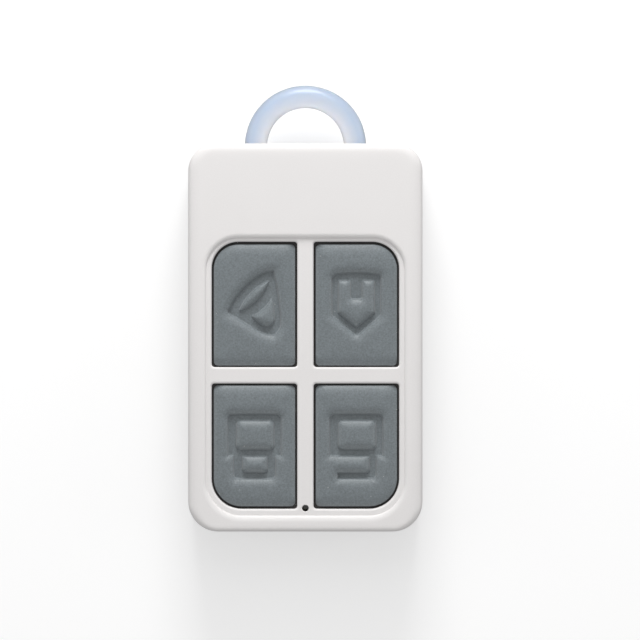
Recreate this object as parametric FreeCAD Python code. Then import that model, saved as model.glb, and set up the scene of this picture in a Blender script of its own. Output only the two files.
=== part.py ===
import FreeCAD, Part
import math
import os

# A four-button remote for a key ring, lying on its back. Millimetres, +Z towards the front face,
# +Y towards the hanging loop. The origin is the centre of the back cover's outer face.

# Housing, as moulded
body_width = 35.0
body_length = 58.0
top_corner = 4.1
bottom_corner = 4.5
wall = 1.5
back_wall = 1.3
front_wall = 1.2
front_edge_inset = 2.0
front_edge_bottom_inset = 1.5
front_edge_drop = 1.1
front_edge_flats = 4
back_edge_round = 1.2
back_edge_flats = 3
tongue_thickness = 0.65
tongue_height = 0.8
tongue_gap = 0.05

# Recessed panel and its four key windows
panel_depth = 0.5
side_rim = 3.5
top_band = 14.7
bottom_rim = 3.4
bar_width = 2.45
side_ledge = 0.8
top_ledge = 0.55
bottom_ledge = 1.0
side_flare = 0.5
top_flare = 0.7
bottom_flare = 0.55
recess_flats = 3
window_top_corner = 4.0
window_bottom_corner = 4.5
window_small_corner = 0.45
light_hole = 1.0
light_hole_rise = 0.1
smallest_radius = 0.1
hidden_corner = 1.5

# Keys and the silicone web round them
window_gap = 0.32
key_small_corner = 0.6
key_proud = 0.25
pillow_width = 1.5
pillow_drop = 0.4
pillow_flats = 2
key_wall = 2.2
key_pocket_depth = 1.1
key_nub = 2.6
key_nub_height = 0.3
flange_overlap = 0.5
flange_thickness = 0.6
slide_gap = 0.03
key_travel = 0.3
press_gap = 0.02
web_thickness = 0.5
web_gap = 0.3
web_wall_gap = 0.2
web_top_margin = 4.7
web_post = 1.5
web_post_inset = 1.6
light_passage = 1.9

# Hanging loop
loop_thickness = 3.36
loop_outer = 18.26
loop_sink = 0.2
loop_spans = 12
loop_foot = 4.8
loop_foot_thickness = 1.5
loop_hole_gap = 0.05
foot_gap = 0.1
foot_rib_width = 6.0
rib_thickness = 1.0

# Circuit board and what stands on it
board_thickness = 0.8
board_wall_gap = 0.4
board_top_margin = 4.0
board_corner = 2.2
board_notch_gap = 0.3
support_side = 2.0
support_inset = 2.6
support_rise = 5.5
upper_support_x = 5.6
upper_support_drop = 1.7
hold_down_side = 1.8
hold_down_x = 3.0

# Tactile switches
switch_side = 6.0
switch_height = 2.5
switch_base_height = 1.45
switch_floor = 0.6
switch_well = 4.7
switch_sheet = 0.25
switch_opening = 3.6
switch_tab_width = 2.6
switch_tab_drop = 0.9
plunger_width = 3.3
plunger_flange = 4.2
plunger_flange_thickness = 0.32
spring_length = 4.4
spring_width = 2.4
spring_sheet = 0.08
spring_gap = 0.03
terminal_sheet = 0.2
terminal_width = 0.7
terminal_spacing = 4.5
terminal_height = 0.75
terminal_reach = 0.5
terminal_foot = 0.8

# Coin cell and its contacts
cell_diameter = 20.0
cell_height = 3.2
cell_step = 0.25
cell_cap_inset = 1.1
cell_board_margin = 5.0
cell_side_gap = 0.1
clip_sheet = 0.25
clip_width = 4.0
clip_foot = 1.7
clip_floor_gap = 0.1
contact_sheet = 0.2
contact_side = 7.0
cradle_gap = 0.3
cradle_rib_width = 4.0
cradle_rise = 2.2
cradle_rib_turns = (35, 90, 145, 215, 270, 325)

# Chips on the board
chip_length = 4.9
chip_width = 3.9
chip_height = 1.4
chip_standoff = 0.1
chip_lead_count = 4
chip_lead_pitch = 1.27
chip_lead_width = 0.42
chip_lead_sheet = 0.2
chip_lead_reach = 0.35
chip_lead_foot = 0.6
chip_cell_gap = 2.6
chip_x = 5.5
resonator_side = 5.0
resonator_height = 1.0
resonator_lid_inset = 0.4
resonator_lid = 0.35
transistor_length = 2.9
transistor_width = 1.3
transistor_height = 0.95
transistor_lead_pitch = 0.95
transistor_above_bar = 14.5
chip_part_length = 1.6
chip_part_width = 0.8
resistor_height = 0.45
capacitor_height = 0.8
resistor_count = 5
resistor_pitch = 4.6
capacitor_count = 4
capacitor_pitch = 3.0
capacitor_chip_gap = 2.0
led_length = 2.0
led_width = 1.25
led_height = 0.8
led_lens_width = 1.2
led_base_height = 0.35
antenna_width = 0.8
antenna_thickness = 0.05
antenna_edge_gap = 0.7
antenna_post_gap = 0.5

# Screws and snap hooks
screw_inset = 4.5
screw_drop = 6.5
screw_shank = 2.0
screw_length = 6.0
screw_head = 3.6
screw_head_height = 1.2
screw_head_sink = 0.4
screw_hole_gap = 0.1
screw_pilot_gap = 0.02
screw_head_gap = 0.2
pillar_wall = 0.6
pillar_rib_offset = 1.1
boss_wall = 1.4
hook_x = 8.0
hook_width = 4.0
hook_thickness = 1.0
hook_wall_gap = 0.05
hook_barb = 0.5
hook_barb_height = 0.8
hook_reach = 2.4
hook_pocket_gap = 0.1

# Levels, counted up from the back face
clip_floor_z = back_wall + clip_floor_gap
cell_z = clip_floor_z + clip_sheet
contact_z = cell_z + cell_height
board_z = contact_z + contact_sheet
board_top_z = board_z + board_thickness
plunger_top_z = board_top_z + switch_height
key_nub_z = plunger_top_z + press_gap
flange_z = key_nub_z + key_nub_height
flange_top_z = flange_z + flange_thickness
ceiling_z = flange_top_z + slide_gap
panel_z = ceiling_z + front_wall
front_z = panel_z + panel_depth
key_top_z = panel_z + key_proud
parting_z = front_z / 2
web_z = ceiling_z - web_thickness

# Places in plan, worked out from the housing
half_width = body_width / 2
half_length = body_length / 2
inner_x = half_width - wall
inner_y = half_length - wall
window_outer_x = half_width - side_rim
window_top_y = half_length - top_band
window_bottom_y = bottom_rim - half_length
bar_y = (window_top_y + window_bottom_y) / 2
light_hole_y = window_bottom_y + light_hole_rise
switch_x = (window_outer_x + bar_width / 2) / 2
row_offset = (window_top_y - bar_y + bar_width / 2) / 2
loop_radius = (loop_outer - loop_thickness) / 2
board_top_y = inner_y - board_top_margin
screw_x = half_width - screw_inset
screw_y = half_length - screw_drop
pillar_radius = screw_head / 2 + screw_head_gap + pillar_wall
cell_y = board_top_y - cell_board_margin - cell_diameter / 2
chip_y = cell_y - cell_diameter / 2 - chip_cell_gap - chip_length / 2
foot_rib_y = inner_y - loop_foot_thickness - 2 * foot_gap

KEY_NAMES = {
    "bell": (-1, 1),
    "home": (1, 1),
    "lock": (-1, -1),
    "unlock": (1, -1),
}
SHARP = (0, 0, 0, 0)
UP = FreeCAD.Vector(0, 0, 1)
THROUGH = 1.0


class Plan:
    """A rectangle seen from the front, with its own radius at each corner, or none where it is sharp."""

    def __init__(self, left, right, bottom, top, radii=SHARP):
        self.left = left
        self.right = right
        self.bottom = bottom
        self.top = top
        self.radii = radii

    def grown(self, distance):
        """The same outline moved outwards by a distance, or inwards where it is negative."""
        return self.stretched(distance, distance, distance)

    def stretched(self, sides, bottom, top):
        """The outline moved outwards by its own distance at the sides, the bottom and the top."""
        radii = [max(radius + sides, smallest_radius) if radius else 0 for radius in self.radii]
        return Plan(self.left - sides, self.right + sides, self.bottom - bottom, self.top + top, radii)

    def with_sharp_corners(self, limit):
        """The outline with the corners under a radius left sharp, for faces that nobody sees."""
        radii = [radius if radius >= limit else 0 for radius in self.radii]
        return Plan(self.left, self.right, self.bottom, self.top, radii)

    def mirrored(self):
        """The outline mirrored from one side of the housing to the other."""
        bottom_left, bottom_right, top_right, top_left = self.radii
        radii = [bottom_right, bottom_left, top_left, top_right]
        return Plan(-self.right, -self.left, self.bottom, self.top, radii)

    def wire(self, z):
        """The closed wire at a height, from the bottom left corner round to the left side."""
        corners = [
            (self.left, self.bottom, 1, 1),
            (self.right, self.bottom, -1, 1),
            (self.right, self.top, -1, -1),
            (self.left, self.top, 1, -1),
        ]
        stops = []
        for index, (x, y, inward_x, inward_y) in enumerate(corners):
            radius = self.radii[index]
            on_side = FreeCAD.Vector(x, y + inward_y * radius, z)
            on_end = FreeCAD.Vector(x + inward_x * radius, y, z)
            slant = radius * (1 - math.sqrt(0.5))
            middle = FreeCAD.Vector(x + inward_x * slant, y + inward_y * slant, z)
            enters_by_side = index % 2 == 0
            stops.append((on_side, middle, on_end) if enters_by_side else (on_end, middle, on_side))
        edges = []
        for index, (start, middle, end) in enumerate(stops):
            if self.radii[index]:
                edges.append(Part.Arc(start, middle, end).toShape())
            next_start = stops[(index + 1) % len(stops)][0]
            edges.append(Part.LineSegment(end, next_start).toShape())
        return Part.Wire(edges)

    def prism(self, z_from, z_to):
        """The outline as a solid between two heights."""
        return Part.Face(self.wire(z_from)).extrude(UP * (z_to - z_from))


def box(x_from, x_to, y_from, y_to, z_from, z_to):
    """A block between two values on each axis."""
    corner = FreeCAD.Vector(x_from, y_from, z_from)
    return Part.makeBox(x_to - x_from, y_to - y_from, z_to - z_from, corner)


def centred_box(x, y, width, length, z_from, z_to):
    """A block centred on a place in plan."""
    return box(x - width / 2, x + width / 2, y - length / 2, y + length / 2, z_from, z_to)


def post(x, y, diameter, z_from, z_to):
    """A round post between two heights."""
    return Part.makeCylinder(diameter / 2, z_to - z_from, FreeCAD.Vector(x, y, z_from), UP)


def square_post(x, y, side, z_from, z_to):
    """A square post between two heights."""
    return centred_box(x, y, side, side, z_from, z_to)


def bent_strip(path, sheet, y, width):
    """A bent sheet seen along Y: the path is its one face, and the sheet lies to the path's left."""
    far_side = []
    for index, (x, z) in enumerate(path):
        before = path[max(index - 1, 0)]
        after = path[min(index + 1, len(path) - 1)]
        shifts = []
        for (x_from, z_from), (x_to, z_to) in ((before, (x, z)), ((x, z), after)):
            length = math.hypot(x_to - x_from, z_to - z_from)
            if length > 0:
                shifts.append(((z_from - z_to) / length, (x_to - x_from) / length))
        across_x = sum(shift[0] for shift in shifts)
        across_z = sum(shift[1] for shift in shifts)
        reach = sheet * len(shifts) / (across_x ** 2 + across_z ** 2)
        far_side.append((x + across_x * reach, z + across_z * reach))
    outline = path + far_side[::-1]
    corners = [FreeCAD.Vector(x, y - width / 2, z) for x, z in outline]
    face = Part.Face(Part.makePolygon(corners + corners[:1]))
    return face.extrude(FreeCAD.Vector(0, width, 0))


def rolled_loft(flats, plan_after, height_after):
    """A solid whose wall starts upright and turns level in small flats, along a quarter ellipse."""
    wires = []
    for step in range(flats + 1):
        angle = math.pi / 2 * step / flats
        wires.append(plan_after(1 - math.cos(angle)).wire(height_after(math.sin(angle))))
    return Part.makeLoft(wires, True, True)


def fused(shapes):
    """One solid made of shapes that touch or overlap, with the joints between faces cleaned up."""
    return shapes[0].fuse(shapes[1:]).removeSplitter()


def cut_from(shape, tools):
    """The shape less a list of tools."""
    return shape.cut(Part.makeCompound(tools)).removeSplitter()


def group(shapes):
    """Several separate solids kept together."""
    return Part.makeCompound(shapes)


# Outlines shared by the covers, the keys and the web
housing_plan = Plan(
    -half_width, half_width, -half_length, half_length,
    [bottom_corner, bottom_corner, top_corner, top_corner],
)
cavity_plan = housing_plan.grown(-wall)
panel_plan = Plan(
    -window_outer_x - side_ledge, window_outer_x + side_ledge,
    window_bottom_y - bottom_ledge, window_top_y + top_ledge,
    [window_bottom_corner + side_ledge] * 2 + [window_top_corner + side_ledge] * 2,
)


def window_plan(side, row):
    """One key window: side -1 is left and 1 is right, row 1 is the upper and -1 the lower."""
    near_bar = bar_y + row * bar_width / 2
    far_end = window_top_y if row > 0 else window_bottom_y
    outer_corner = window_top_corner if row > 0 else window_bottom_corner
    radii = [window_small_corner, window_small_corner, outer_corner, window_small_corner]
    if row < 0:
        radii = [window_small_corner, outer_corner, window_small_corner, window_small_corner]
    right_window = Plan(
        bar_width / 2, window_outer_x, min(near_bar, far_end), max(near_bar, far_end), radii,
    )
    return right_window if side > 0 else right_window.mirrored()


def key_centre(side, row):
    """The middle of a key and of the switch below it."""
    return side * switch_x, bar_y + row * row_offset


def screw_places():
    """The two screws in the top corners."""
    return [(-screw_x, screw_y), (screw_x, screw_y)]


def loop_legs():
    """The X positions where the loop enters the housing."""
    return [-loop_radius, loop_radius]


def leg_bore(x):
    """The round hole for a leg of the loop through the end wall, half of it in each cover."""
    start = FreeCAD.Vector(x, inner_y - THROUGH, parting_z)
    radius = loop_thickness / 2 + loop_hole_gap
    return Part.makeCylinder(radius, wall + 2 * THROUGH, start, FreeCAD.Vector(0, 1, 0))


def recess_cutter():
    """The space over the panel: its wall starts upright and rolls over onto the front face."""
    return rolled_loft(
        recess_flats,
        lambda part: panel_plan.stretched(side_flare * part, bottom_flare * part, top_flare * part),
        lambda part: panel_z + panel_depth * part,
    )


def snap_hook(x):
    """A springy hook under the front cover's bottom wall, with a barb that points outwards."""
    face_y = hook_wall_gap - inner_y
    back_y = face_y + hook_thickness
    tip_z = parting_z - hook_reach
    barb_y = face_y - hook_barb
    barb_top_z = tip_z + hook_barb_height
    root_z = flange_z - key_travel - web_gap
    neck_z = parting_z - tongue_height
    outline = [
        (-inner_y, root_z), (-inner_y, neck_z), (face_y, neck_z), (face_y, barb_top_z),
        (barb_y, barb_top_z), (face_y, tip_z), (back_y, tip_z), (back_y, root_z),
    ]
    corners = [FreeCAD.Vector(x - hook_width / 2, y, z) for y, z in outline]
    face = Part.Face(Part.makePolygon(corners + corners[:1]))
    return face.extrude(FreeCAD.Vector(hook_width, 0, 0))


def hook_pocket(x):
    """The pocket in the back cover's bottom wall that the barb snaps into."""
    barb_z = parting_z - hook_reach
    return box(
        x - hook_width / 2 - hook_pocket_gap, x + hook_width / 2 + hook_pocket_gap,
        -inner_y - hook_barb - hook_pocket_gap + hook_wall_gap, -inner_y,
        barb_z - hook_pocket_gap, barb_z + hook_barb_height + hook_pocket_gap,
    )


def tongue_ring(thickness, depth):
    """The ring round the cavity that reaches down from the parting line."""
    ring = cavity_plan.grown(thickness).prism(parting_z - depth, parting_z)
    return ring.cut(cavity_plan.prism(parting_z - depth, parting_z))


def foot_ribs(z_from, z_to):
    """The ribs that keep the loop's feet against the end wall."""
    return [
        box(
            x - foot_rib_width / 2, x + foot_rib_width / 2,
            foot_rib_y - rib_thickness, foot_rib_y, z_from, z_to,
        )
        for x in loop_legs()
    ]


def pillar_ribs(z_from, z_to):
    """The ribs that tie the screw pillars to the side walls."""
    ribs = []
    for x, y in screw_places():
        near, far = sorted((x, math.copysign(inner_x, x)))
        low_y = y + pillar_rib_offset
        ribs.append(box(near, far, low_y, low_y + rib_thickness, z_from, z_to))
    return ribs


def make_front_cover():
    """The front shell with its panel, windows, bosses, ribs and hooks."""
    edge_z = front_z - front_edge_drop
    edge = rolled_loft(
        front_edge_flats,
        lambda part: housing_plan.stretched(
            -front_edge_inset * part, -front_edge_bottom_inset * part, -front_edge_inset * part,
        ),
        lambda part: edge_z + front_edge_drop * part,
    )
    shell = fused([housing_plan.prism(parting_z, edge_z), edge])
    shell = cut_from(shell, [recess_cutter(), cavity_plan.prism(parting_z - THROUGH, ceiling_z)])
    openings = [window_plan(*place).prism(ceiling_z - THROUGH, front_z) for place in KEY_NAMES.values()]
    shell = cut_from(shell, openings + [post(0, light_hole_y, light_hole, ceiling_z - THROUGH, front_z)])
    inside = [tongue_ring(tongue_thickness, tongue_height)]
    boss = screw_shank + 2 * screw_pilot_gap + 2 * boss_wall
    inside += [post(x, y, boss, parting_z, ceiling_z) for x, y in screw_places()]
    inside += [
        square_post(x, board_top_y - upper_support_drop, hold_down_side, board_top_z, ceiling_z)
        for x in (-hold_down_x, hold_down_x)
    ]
    inside += foot_ribs(parting_z, ceiling_z) + pillar_ribs(parting_z, ceiling_z)
    inside += [snap_hook(x) for x in (-hook_x, hook_x)]
    shell = fused([shell] + inside)
    screw_tip_z = screw_head_sink + screw_head_height + screw_length
    pilots = [
        post(x, y, screw_shank + 2 * screw_pilot_gap, parting_z - THROUGH, screw_tip_z + screw_hole_gap)
        for x, y in screw_places()
    ]
    return cut_from(shell, pilots + [leg_bore(x) for x in loop_legs()])


def make_back_cover():
    """The back shell with its cell cradle, board supports and screw pillars."""
    round_z = back_edge_round
    edge = rolled_loft(
        back_edge_flats,
        lambda part: housing_plan.grown(-round_z * part), lambda part: round_z - round_z * part,
    )
    shell = fused([housing_plan.prism(round_z, parting_z), edge])
    cavity = cavity_plan.prism(back_wall, parting_z + THROUGH)
    rebate = tongue_ring(tongue_thickness + tongue_gap, tongue_height + tongue_gap)
    shell = cut_from(shell, [cavity, rebate])
    inside = [post(x, y, 2 * pillar_radius, 0, parting_z) for x, y in screw_places()]
    inside += [square_post(x, y, support_side, back_wall, board_z) for x, y in support_places()]
    inside += foot_ribs(back_wall, parting_z)
    inside += pillar_ribs(back_wall, parting_z - tongue_height - tongue_gap)
    inside += cradle_ribs()
    shell = fused([shell] + inside)
    holes = [leg_bore(x) for x in loop_legs()]
    holes += [hook_pocket(x) for x in (-hook_x, hook_x)]
    head_floor_z = screw_head_sink + screw_head_height
    for x, y in screw_places():
        holes.append(post(x, y, screw_head + 2 * screw_head_gap, -THROUGH, head_floor_z))
        holes.append(post(x, y, screw_shank + 2 * screw_hole_gap, 0, parting_z + THROUGH))
    return cut_from(shell, holes)


def support_places():
    """Where the back cover's posts carry the board."""
    side_x = inner_x - support_inset
    upper_y = board_top_y - upper_support_drop
    places = [(side_x, support_rise - inner_y), (side_x, bar_y), (upper_support_x, upper_y)]
    return places + [(-x, y) for x, y in places]


def cradle_ribs():
    """The short ribs round the cell, none of them where the clip passes under it."""
    near = cell_diameter / 2 + cradle_gap
    ribs = []
    for turn in cradle_rib_turns:
        rib = box(
            near, near + rib_thickness, -cradle_rib_width / 2, cradle_rib_width / 2,
            back_wall, cell_z + cradle_rise,
        )
        rib.rotate(FreeCAD.Vector(), UP, turn)
        rib.translate(FreeCAD.Vector(0, cell_y, 0))
        ribs.append(rib)
    return ribs


def make_hanging_loop():
    """The half ring of round silicone, its straight legs and the feet behind the end wall."""
    centre_y = half_length - loop_sink
    sections = []
    for step in range(loop_spans + 1):
        angle = math.pi * step / loop_spans
        outwards = FreeCAD.Vector(math.cos(angle), math.sin(angle), 0)
        forwards = FreeCAD.Vector(-math.sin(angle), math.cos(angle), 0)
        middle = FreeCAD.Vector(0, centre_y, parting_z) + outwards * loop_radius
        sections.append(Part.Wire([Part.makeCircle(loop_thickness / 2, middle, forwards)]))
    solids = [Part.makeLoft(sections, True, True)]
    foot_y = inner_y - foot_gap - loop_foot_thickness
    along = FreeCAD.Vector(0, 1, 0)
    for x in loop_legs():
        start = FreeCAD.Vector(x, foot_y, parting_z)
        solids.append(Part.makeCylinder(loop_thickness / 2, centre_y - foot_y, start, along))
        solids.append(box(
            x - loop_foot / 2, x + loop_foot / 2, foot_y, foot_y + loop_foot_thickness,
            parting_z - loop_foot / 2, parting_z + loop_foot / 2,
        ))
    return fused(solids)


def key_plan(side, row):
    """The key's outline: the window less the gap, with rounder small corners."""
    plan = window_plan(side, row).grown(-window_gap)
    plan.radii = [max(radius, key_small_corner) for radius in plan.radii]
    return plan


def make_key(side, row):
    """A silicone key: pillowed top, straight sides, flange under the cover, nub over its switch."""
    plan = key_plan(side, row)
    flange_plan = window_plan(side, row).grown(flange_overlap).with_sharp_corners(hidden_corner)
    flange = flange_plan.prism(flange_z, flange_top_z)
    shoulder_z = key_top_z - pillow_drop
    sides = plan.prism(flange_z, shoulder_z)
    crown = rolled_loft(
        pillow_flats,
        lambda part: plan.grown(-pillow_width * part), lambda part: shoulder_z + pillow_drop * part,
    )
    x, y = key_centre(side, row)
    pocket_top_z = flange_z + key_pocket_depth
    pocket = plan.grown(-key_wall).with_sharp_corners(hidden_corner).prism(flange_z, pocket_top_z)
    body = fused([flange, sides, crown]).cut(pocket)
    return fused([body, square_post(x, y, key_nub, key_nub_z, pocket_top_z)])


def make_keypad_web():
    """The thin sheet under the front cover, with a hole round each key and posts down to the board."""
    outline = cavity_plan.grown(-web_wall_gap)
    outline.top = window_top_y + web_top_margin
    sheet = outline.prism(web_z, ceiling_z)
    holes = []
    for place in KEY_NAMES.values():
        hole_plan = window_plan(*place).with_sharp_corners(hidden_corner).grown(flange_overlap + web_gap)
        holes.append(hole_plan.prism(web_z - THROUGH, ceiling_z + THROUGH))
    posts = [square_post(x, y, web_post, board_top_z, web_z) for x, y in web_post_places()]
    passage = square_post(0, light_hole_y, light_passage, board_top_z, ceiling_z)
    return cut_from(fused([sheet] + posts), holes + [passage])


def web_post_places():
    """The web's four posts, near its corners."""
    outline = cavity_plan.grown(-web_wall_gap)
    x = outline.right - web_post_inset
    bottom_y = outline.bottom + web_post_inset
    top_y = window_top_y + (flange_overlap + web_gap + web_top_margin) / 2
    return [(-x, bottom_y), (x, bottom_y), (-switch_x, top_y), (switch_x, top_y)]


def make_circuit_board():
    """The board, notched round the screw pillars and the snap hooks."""
    outline = cavity_plan.grown(-board_wall_gap)
    outline.top = board_top_y
    outline.radii = [board_corner] * 4
    board = outline.prism(board_z, board_top_z)
    notches = []
    for x, y in screw_places():
        side = 1 if x > 0 else -1
        edge = abs(x) - pillar_radius - board_notch_gap
        notches.append(box(
            min(side * edge, side * half_width), max(side * edge, side * half_width),
            y - pillar_radius - board_notch_gap, half_length, board_z, board_top_z,
        ))
    hook_back_y = hook_wall_gap - inner_y + hook_thickness
    for x in (-hook_x, hook_x):
        notches.append(box(
            x - hook_width / 2 - board_notch_gap, x + hook_width / 2 + board_notch_gap,
            -half_length, hook_back_y + board_notch_gap, board_z, board_top_z,
        ))
    return cut_from(board, notches)


def switch_tab_groove(x, y, side):
    """The shallow groove in the base where a tab of the steel cover lies flush."""
    outer = x + side * switch_side / 2
    inner = outer - side * switch_sheet
    top_z = board_top_z + switch_base_height
    return box(
        min(inner, outer), max(inner, outer), y - switch_tab_width / 2, y + switch_tab_width / 2,
        top_z - switch_tab_drop, top_z,
    )


def switch_plan(x, y):
    """The outline of a switch seen from the front."""
    reach = switch_side / 2
    return Plan(x - reach, x + reach, y - reach, y + reach)


def make_switch_base(x, y):
    """The moulded base with a square well for the spring and a groove for each tab."""
    top_z = board_top_z + switch_base_height
    block = switch_plan(x, y).prism(board_top_z, top_z)
    well = square_post(x, y, switch_well, board_top_z + switch_floor, top_z)
    return cut_from(block, [well] + [switch_tab_groove(x, y, side) for side in (-1, 1)])


def make_switch_cover(x, y):
    """The steel plate over the base, with a hole for the plunger and two tabs folded down."""
    low_z = board_top_z + switch_base_height
    high_z = low_z + switch_sheet
    tabs = [switch_tab_groove(x, y, side) for side in (-1, 1)]
    plate = fused([switch_plan(x, y).prism(low_z, high_z)] + tabs)
    return cut_from(plate, [post(x, y, switch_opening, low_z, high_z)])


def plunger_flange_z():
    """The underside of the plunger's flange, which hangs just under the steel cover."""
    return board_top_z + switch_base_height - slide_gap - plunger_flange_thickness


def make_switch_plunger(x, y):
    """The round button of the switch on the square flange that keeps it in."""
    flange_low_z = plunger_flange_z()
    flange_high_z = flange_low_z + plunger_flange_thickness
    flange = square_post(x, y, plunger_flange, flange_low_z, flange_high_z)
    return fused([flange, post(x, y, plunger_width, flange_high_z, plunger_top_z)])


def make_switch_spring(x, y):
    """The thin arched snap spring that gives the click, standing on the floor of the well."""
    foot_z = board_top_z + switch_floor
    rise = plunger_flange_z() - spring_gap - foot_z
    path = []
    for stop in (-1, -0.6, -0.25, 0.25, 0.6, 1):
        path.append((x + stop * spring_length / 2, foot_z + (rise - spring_sheet) * (1 - stop ** 2)))
    return bent_strip(path, spring_sheet, y, spring_width)


def gull_wing(root_x, side, y, width, sheet, root_z, reach, foot, seat_z):
    """A lead that leaves its part sideways, drops, and ends in a foot lying flat on the board."""
    up = 1 if root_z > seat_z else -1
    bend_x = root_x + side * reach
    path = [
        (root_x, root_z), (bend_x, root_z), (bend_x, seat_z + up * sheet),
        (bend_x + side * foot, seat_z + up * sheet),
    ]
    thickness = -sheet * up * side
    return bent_strip(path, thickness, y, width)


def make_switch_terminals(x, y):
    """Four gull-wing terminals, two on each side of the switch."""
    leads = []
    for side in (-1, 1):
        for row in (-1, 1):
            leads.append(gull_wing(
                x + side * switch_side / 2, side, y + row * terminal_spacing / 2, terminal_width,
                terminal_sheet, board_top_z + terminal_height, terminal_reach, terminal_foot, board_top_z,
            ))
    return group(leads)


def make_cell_can():
    """The coin cell's steel can with what it holds."""
    return post(0, cell_y, cell_diameter, cell_z, contact_z - cell_step)


def make_cell_cap():
    """The negative cap, standing a little above the can's rim."""
    return post(0, cell_y, cell_diameter - 2 * cell_cap_inset, contact_z - cell_step, contact_z)


def make_battery_clip():
    """The sprung strap under the cell, soldered to the board at both ends."""
    side_x = cell_diameter / 2 + cell_side_gap
    foot_x = side_x + clip_sheet + clip_foot
    path = [
        (-foot_x, board_z - clip_sheet), (-side_x - clip_sheet, board_z - clip_sheet),
        (-side_x - clip_sheet, clip_floor_z), (side_x + clip_sheet, clip_floor_z),
        (side_x + clip_sheet, board_z - clip_sheet), (foot_x, board_z - clip_sheet),
    ]
    return bent_strip(path, clip_sheet, cell_y, clip_width)


def make_battery_contact_pad():
    """The plated pad between the cell's cap and the board."""
    return square_post(0, cell_y, contact_side, contact_z, board_z)


def make_encoder_chip():
    """The body of the code chip, under the board below the cell."""
    top_z = board_z - chip_standoff
    return centred_box(-chip_x, chip_y, chip_width, chip_length, top_z - chip_height, top_z)


def make_encoder_leads():
    """The code chip's gull-wing leads, four on each side."""
    middle_z = board_z - chip_standoff - chip_height / 2
    leads = []
    for side in (-1, 1):
        for number in range(chip_lead_count):
            y = chip_y + (number - (chip_lead_count - 1) / 2) * chip_lead_pitch
            leads.append(gull_wing(
                -chip_x + side * chip_width / 2, side, y, chip_lead_width, chip_lead_sheet,
                middle_z, chip_lead_reach, chip_lead_foot, board_z,
            ))
    return group(leads)


def make_radio_resonator():
    """The ceramic package that sets the radio's frequency, with its metal lid."""
    low_z = board_z - resonator_height
    case = centred_box(chip_x, chip_y, resonator_side, resonator_side, low_z, board_z)
    lid_side = resonator_side - 2 * resonator_lid_inset
    return fused([case, centred_box(chip_x, chip_y, lid_side, lid_side, low_z - resonator_lid, low_z)])


def make_radio_transistor():
    """The body of the small radio transistor, between the upper switches."""
    low_z = board_top_z + chip_standoff
    y = bar_y + transistor_above_bar
    return centred_box(0, y, transistor_width, transistor_length, low_z, low_z + transistor_height)


def make_transistor_leads():
    """The transistor's three leads, two on one side and one on the other."""
    middle_z = board_top_z + chip_standoff + transistor_height / 2
    centre_y = bar_y + transistor_above_bar
    leads = []
    for side, offset in ((-1, -transistor_lead_pitch), (-1, transistor_lead_pitch), (1, 0)):
        leads.append(gull_wing(
            side * transistor_width / 2, side, centre_y + offset, chip_lead_width, chip_lead_sheet,
            middle_z, chip_lead_reach, chip_lead_foot, board_top_z,
        ))
    return group(leads)


def make_chip_resistors():
    """A row of chip resistors on the board under the bar between the keys."""
    parts = []
    for number in range(resistor_count):
        x = (number - (resistor_count - 1) / 2) * resistor_pitch
        parts.append(centred_box(
            x, bar_y, chip_part_width, chip_part_length, board_top_z, board_top_z + resistor_height,
        ))
    return group(parts)


def make_chip_capacitors():
    """A row of chip capacitors under the board, below the chip."""
    y = chip_y - chip_length / 2 - capacitor_chip_gap
    parts = []
    for number in range(capacitor_count):
        x = (number - (capacitor_count - 1) / 2) * capacitor_pitch
        parts.append(centred_box(
            x, y, chip_part_width, chip_part_length, board_z - capacitor_height, board_z,
        ))
    return group(parts)


def make_indicator_led():
    """The indicator light under its hole: a flat base with a clear lens."""
    base_top_z = board_top_z + led_base_height
    base = centred_box(0, light_hole_y, led_length, led_width, board_top_z, base_top_z)
    lens = centred_box(0, light_hole_y, led_lens_width, led_width, base_top_z, board_top_z + led_height)
    return fused([base, lens])


def make_antenna_track():
    """The printed loop antenna on the board's front: up both sides and across below the screws."""
    outer_x = inner_x - board_wall_gap - antenna_edge_gap
    top_y = screw_y - pillar_radius - board_notch_gap - antenna_edge_gap
    bottom_y = web_post_places()[0][1] + web_post / 2 + antenna_post_gap
    low_z = board_top_z
    high_z = board_top_z + antenna_thickness
    outer = box(-outer_x, outer_x, bottom_y, top_y, low_z, high_z)
    inner = box(
        antenna_width - outer_x, outer_x - antenna_width, bottom_y, top_y - antenna_width, low_z, high_z,
    )
    return outer.cut(inner)


def make_case_screws():
    """Two pan-head screws that enter from the back."""
    head_top_z = screw_head_sink + screw_head_height
    screws = []
    for x, y in screw_places():
        head = post(x, y, screw_head, screw_head_sink, head_top_z)
        screws.append(fused([head, post(x, y, screw_shank, head_top_z, head_top_z + screw_length)]))
    return group(screws)


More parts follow.
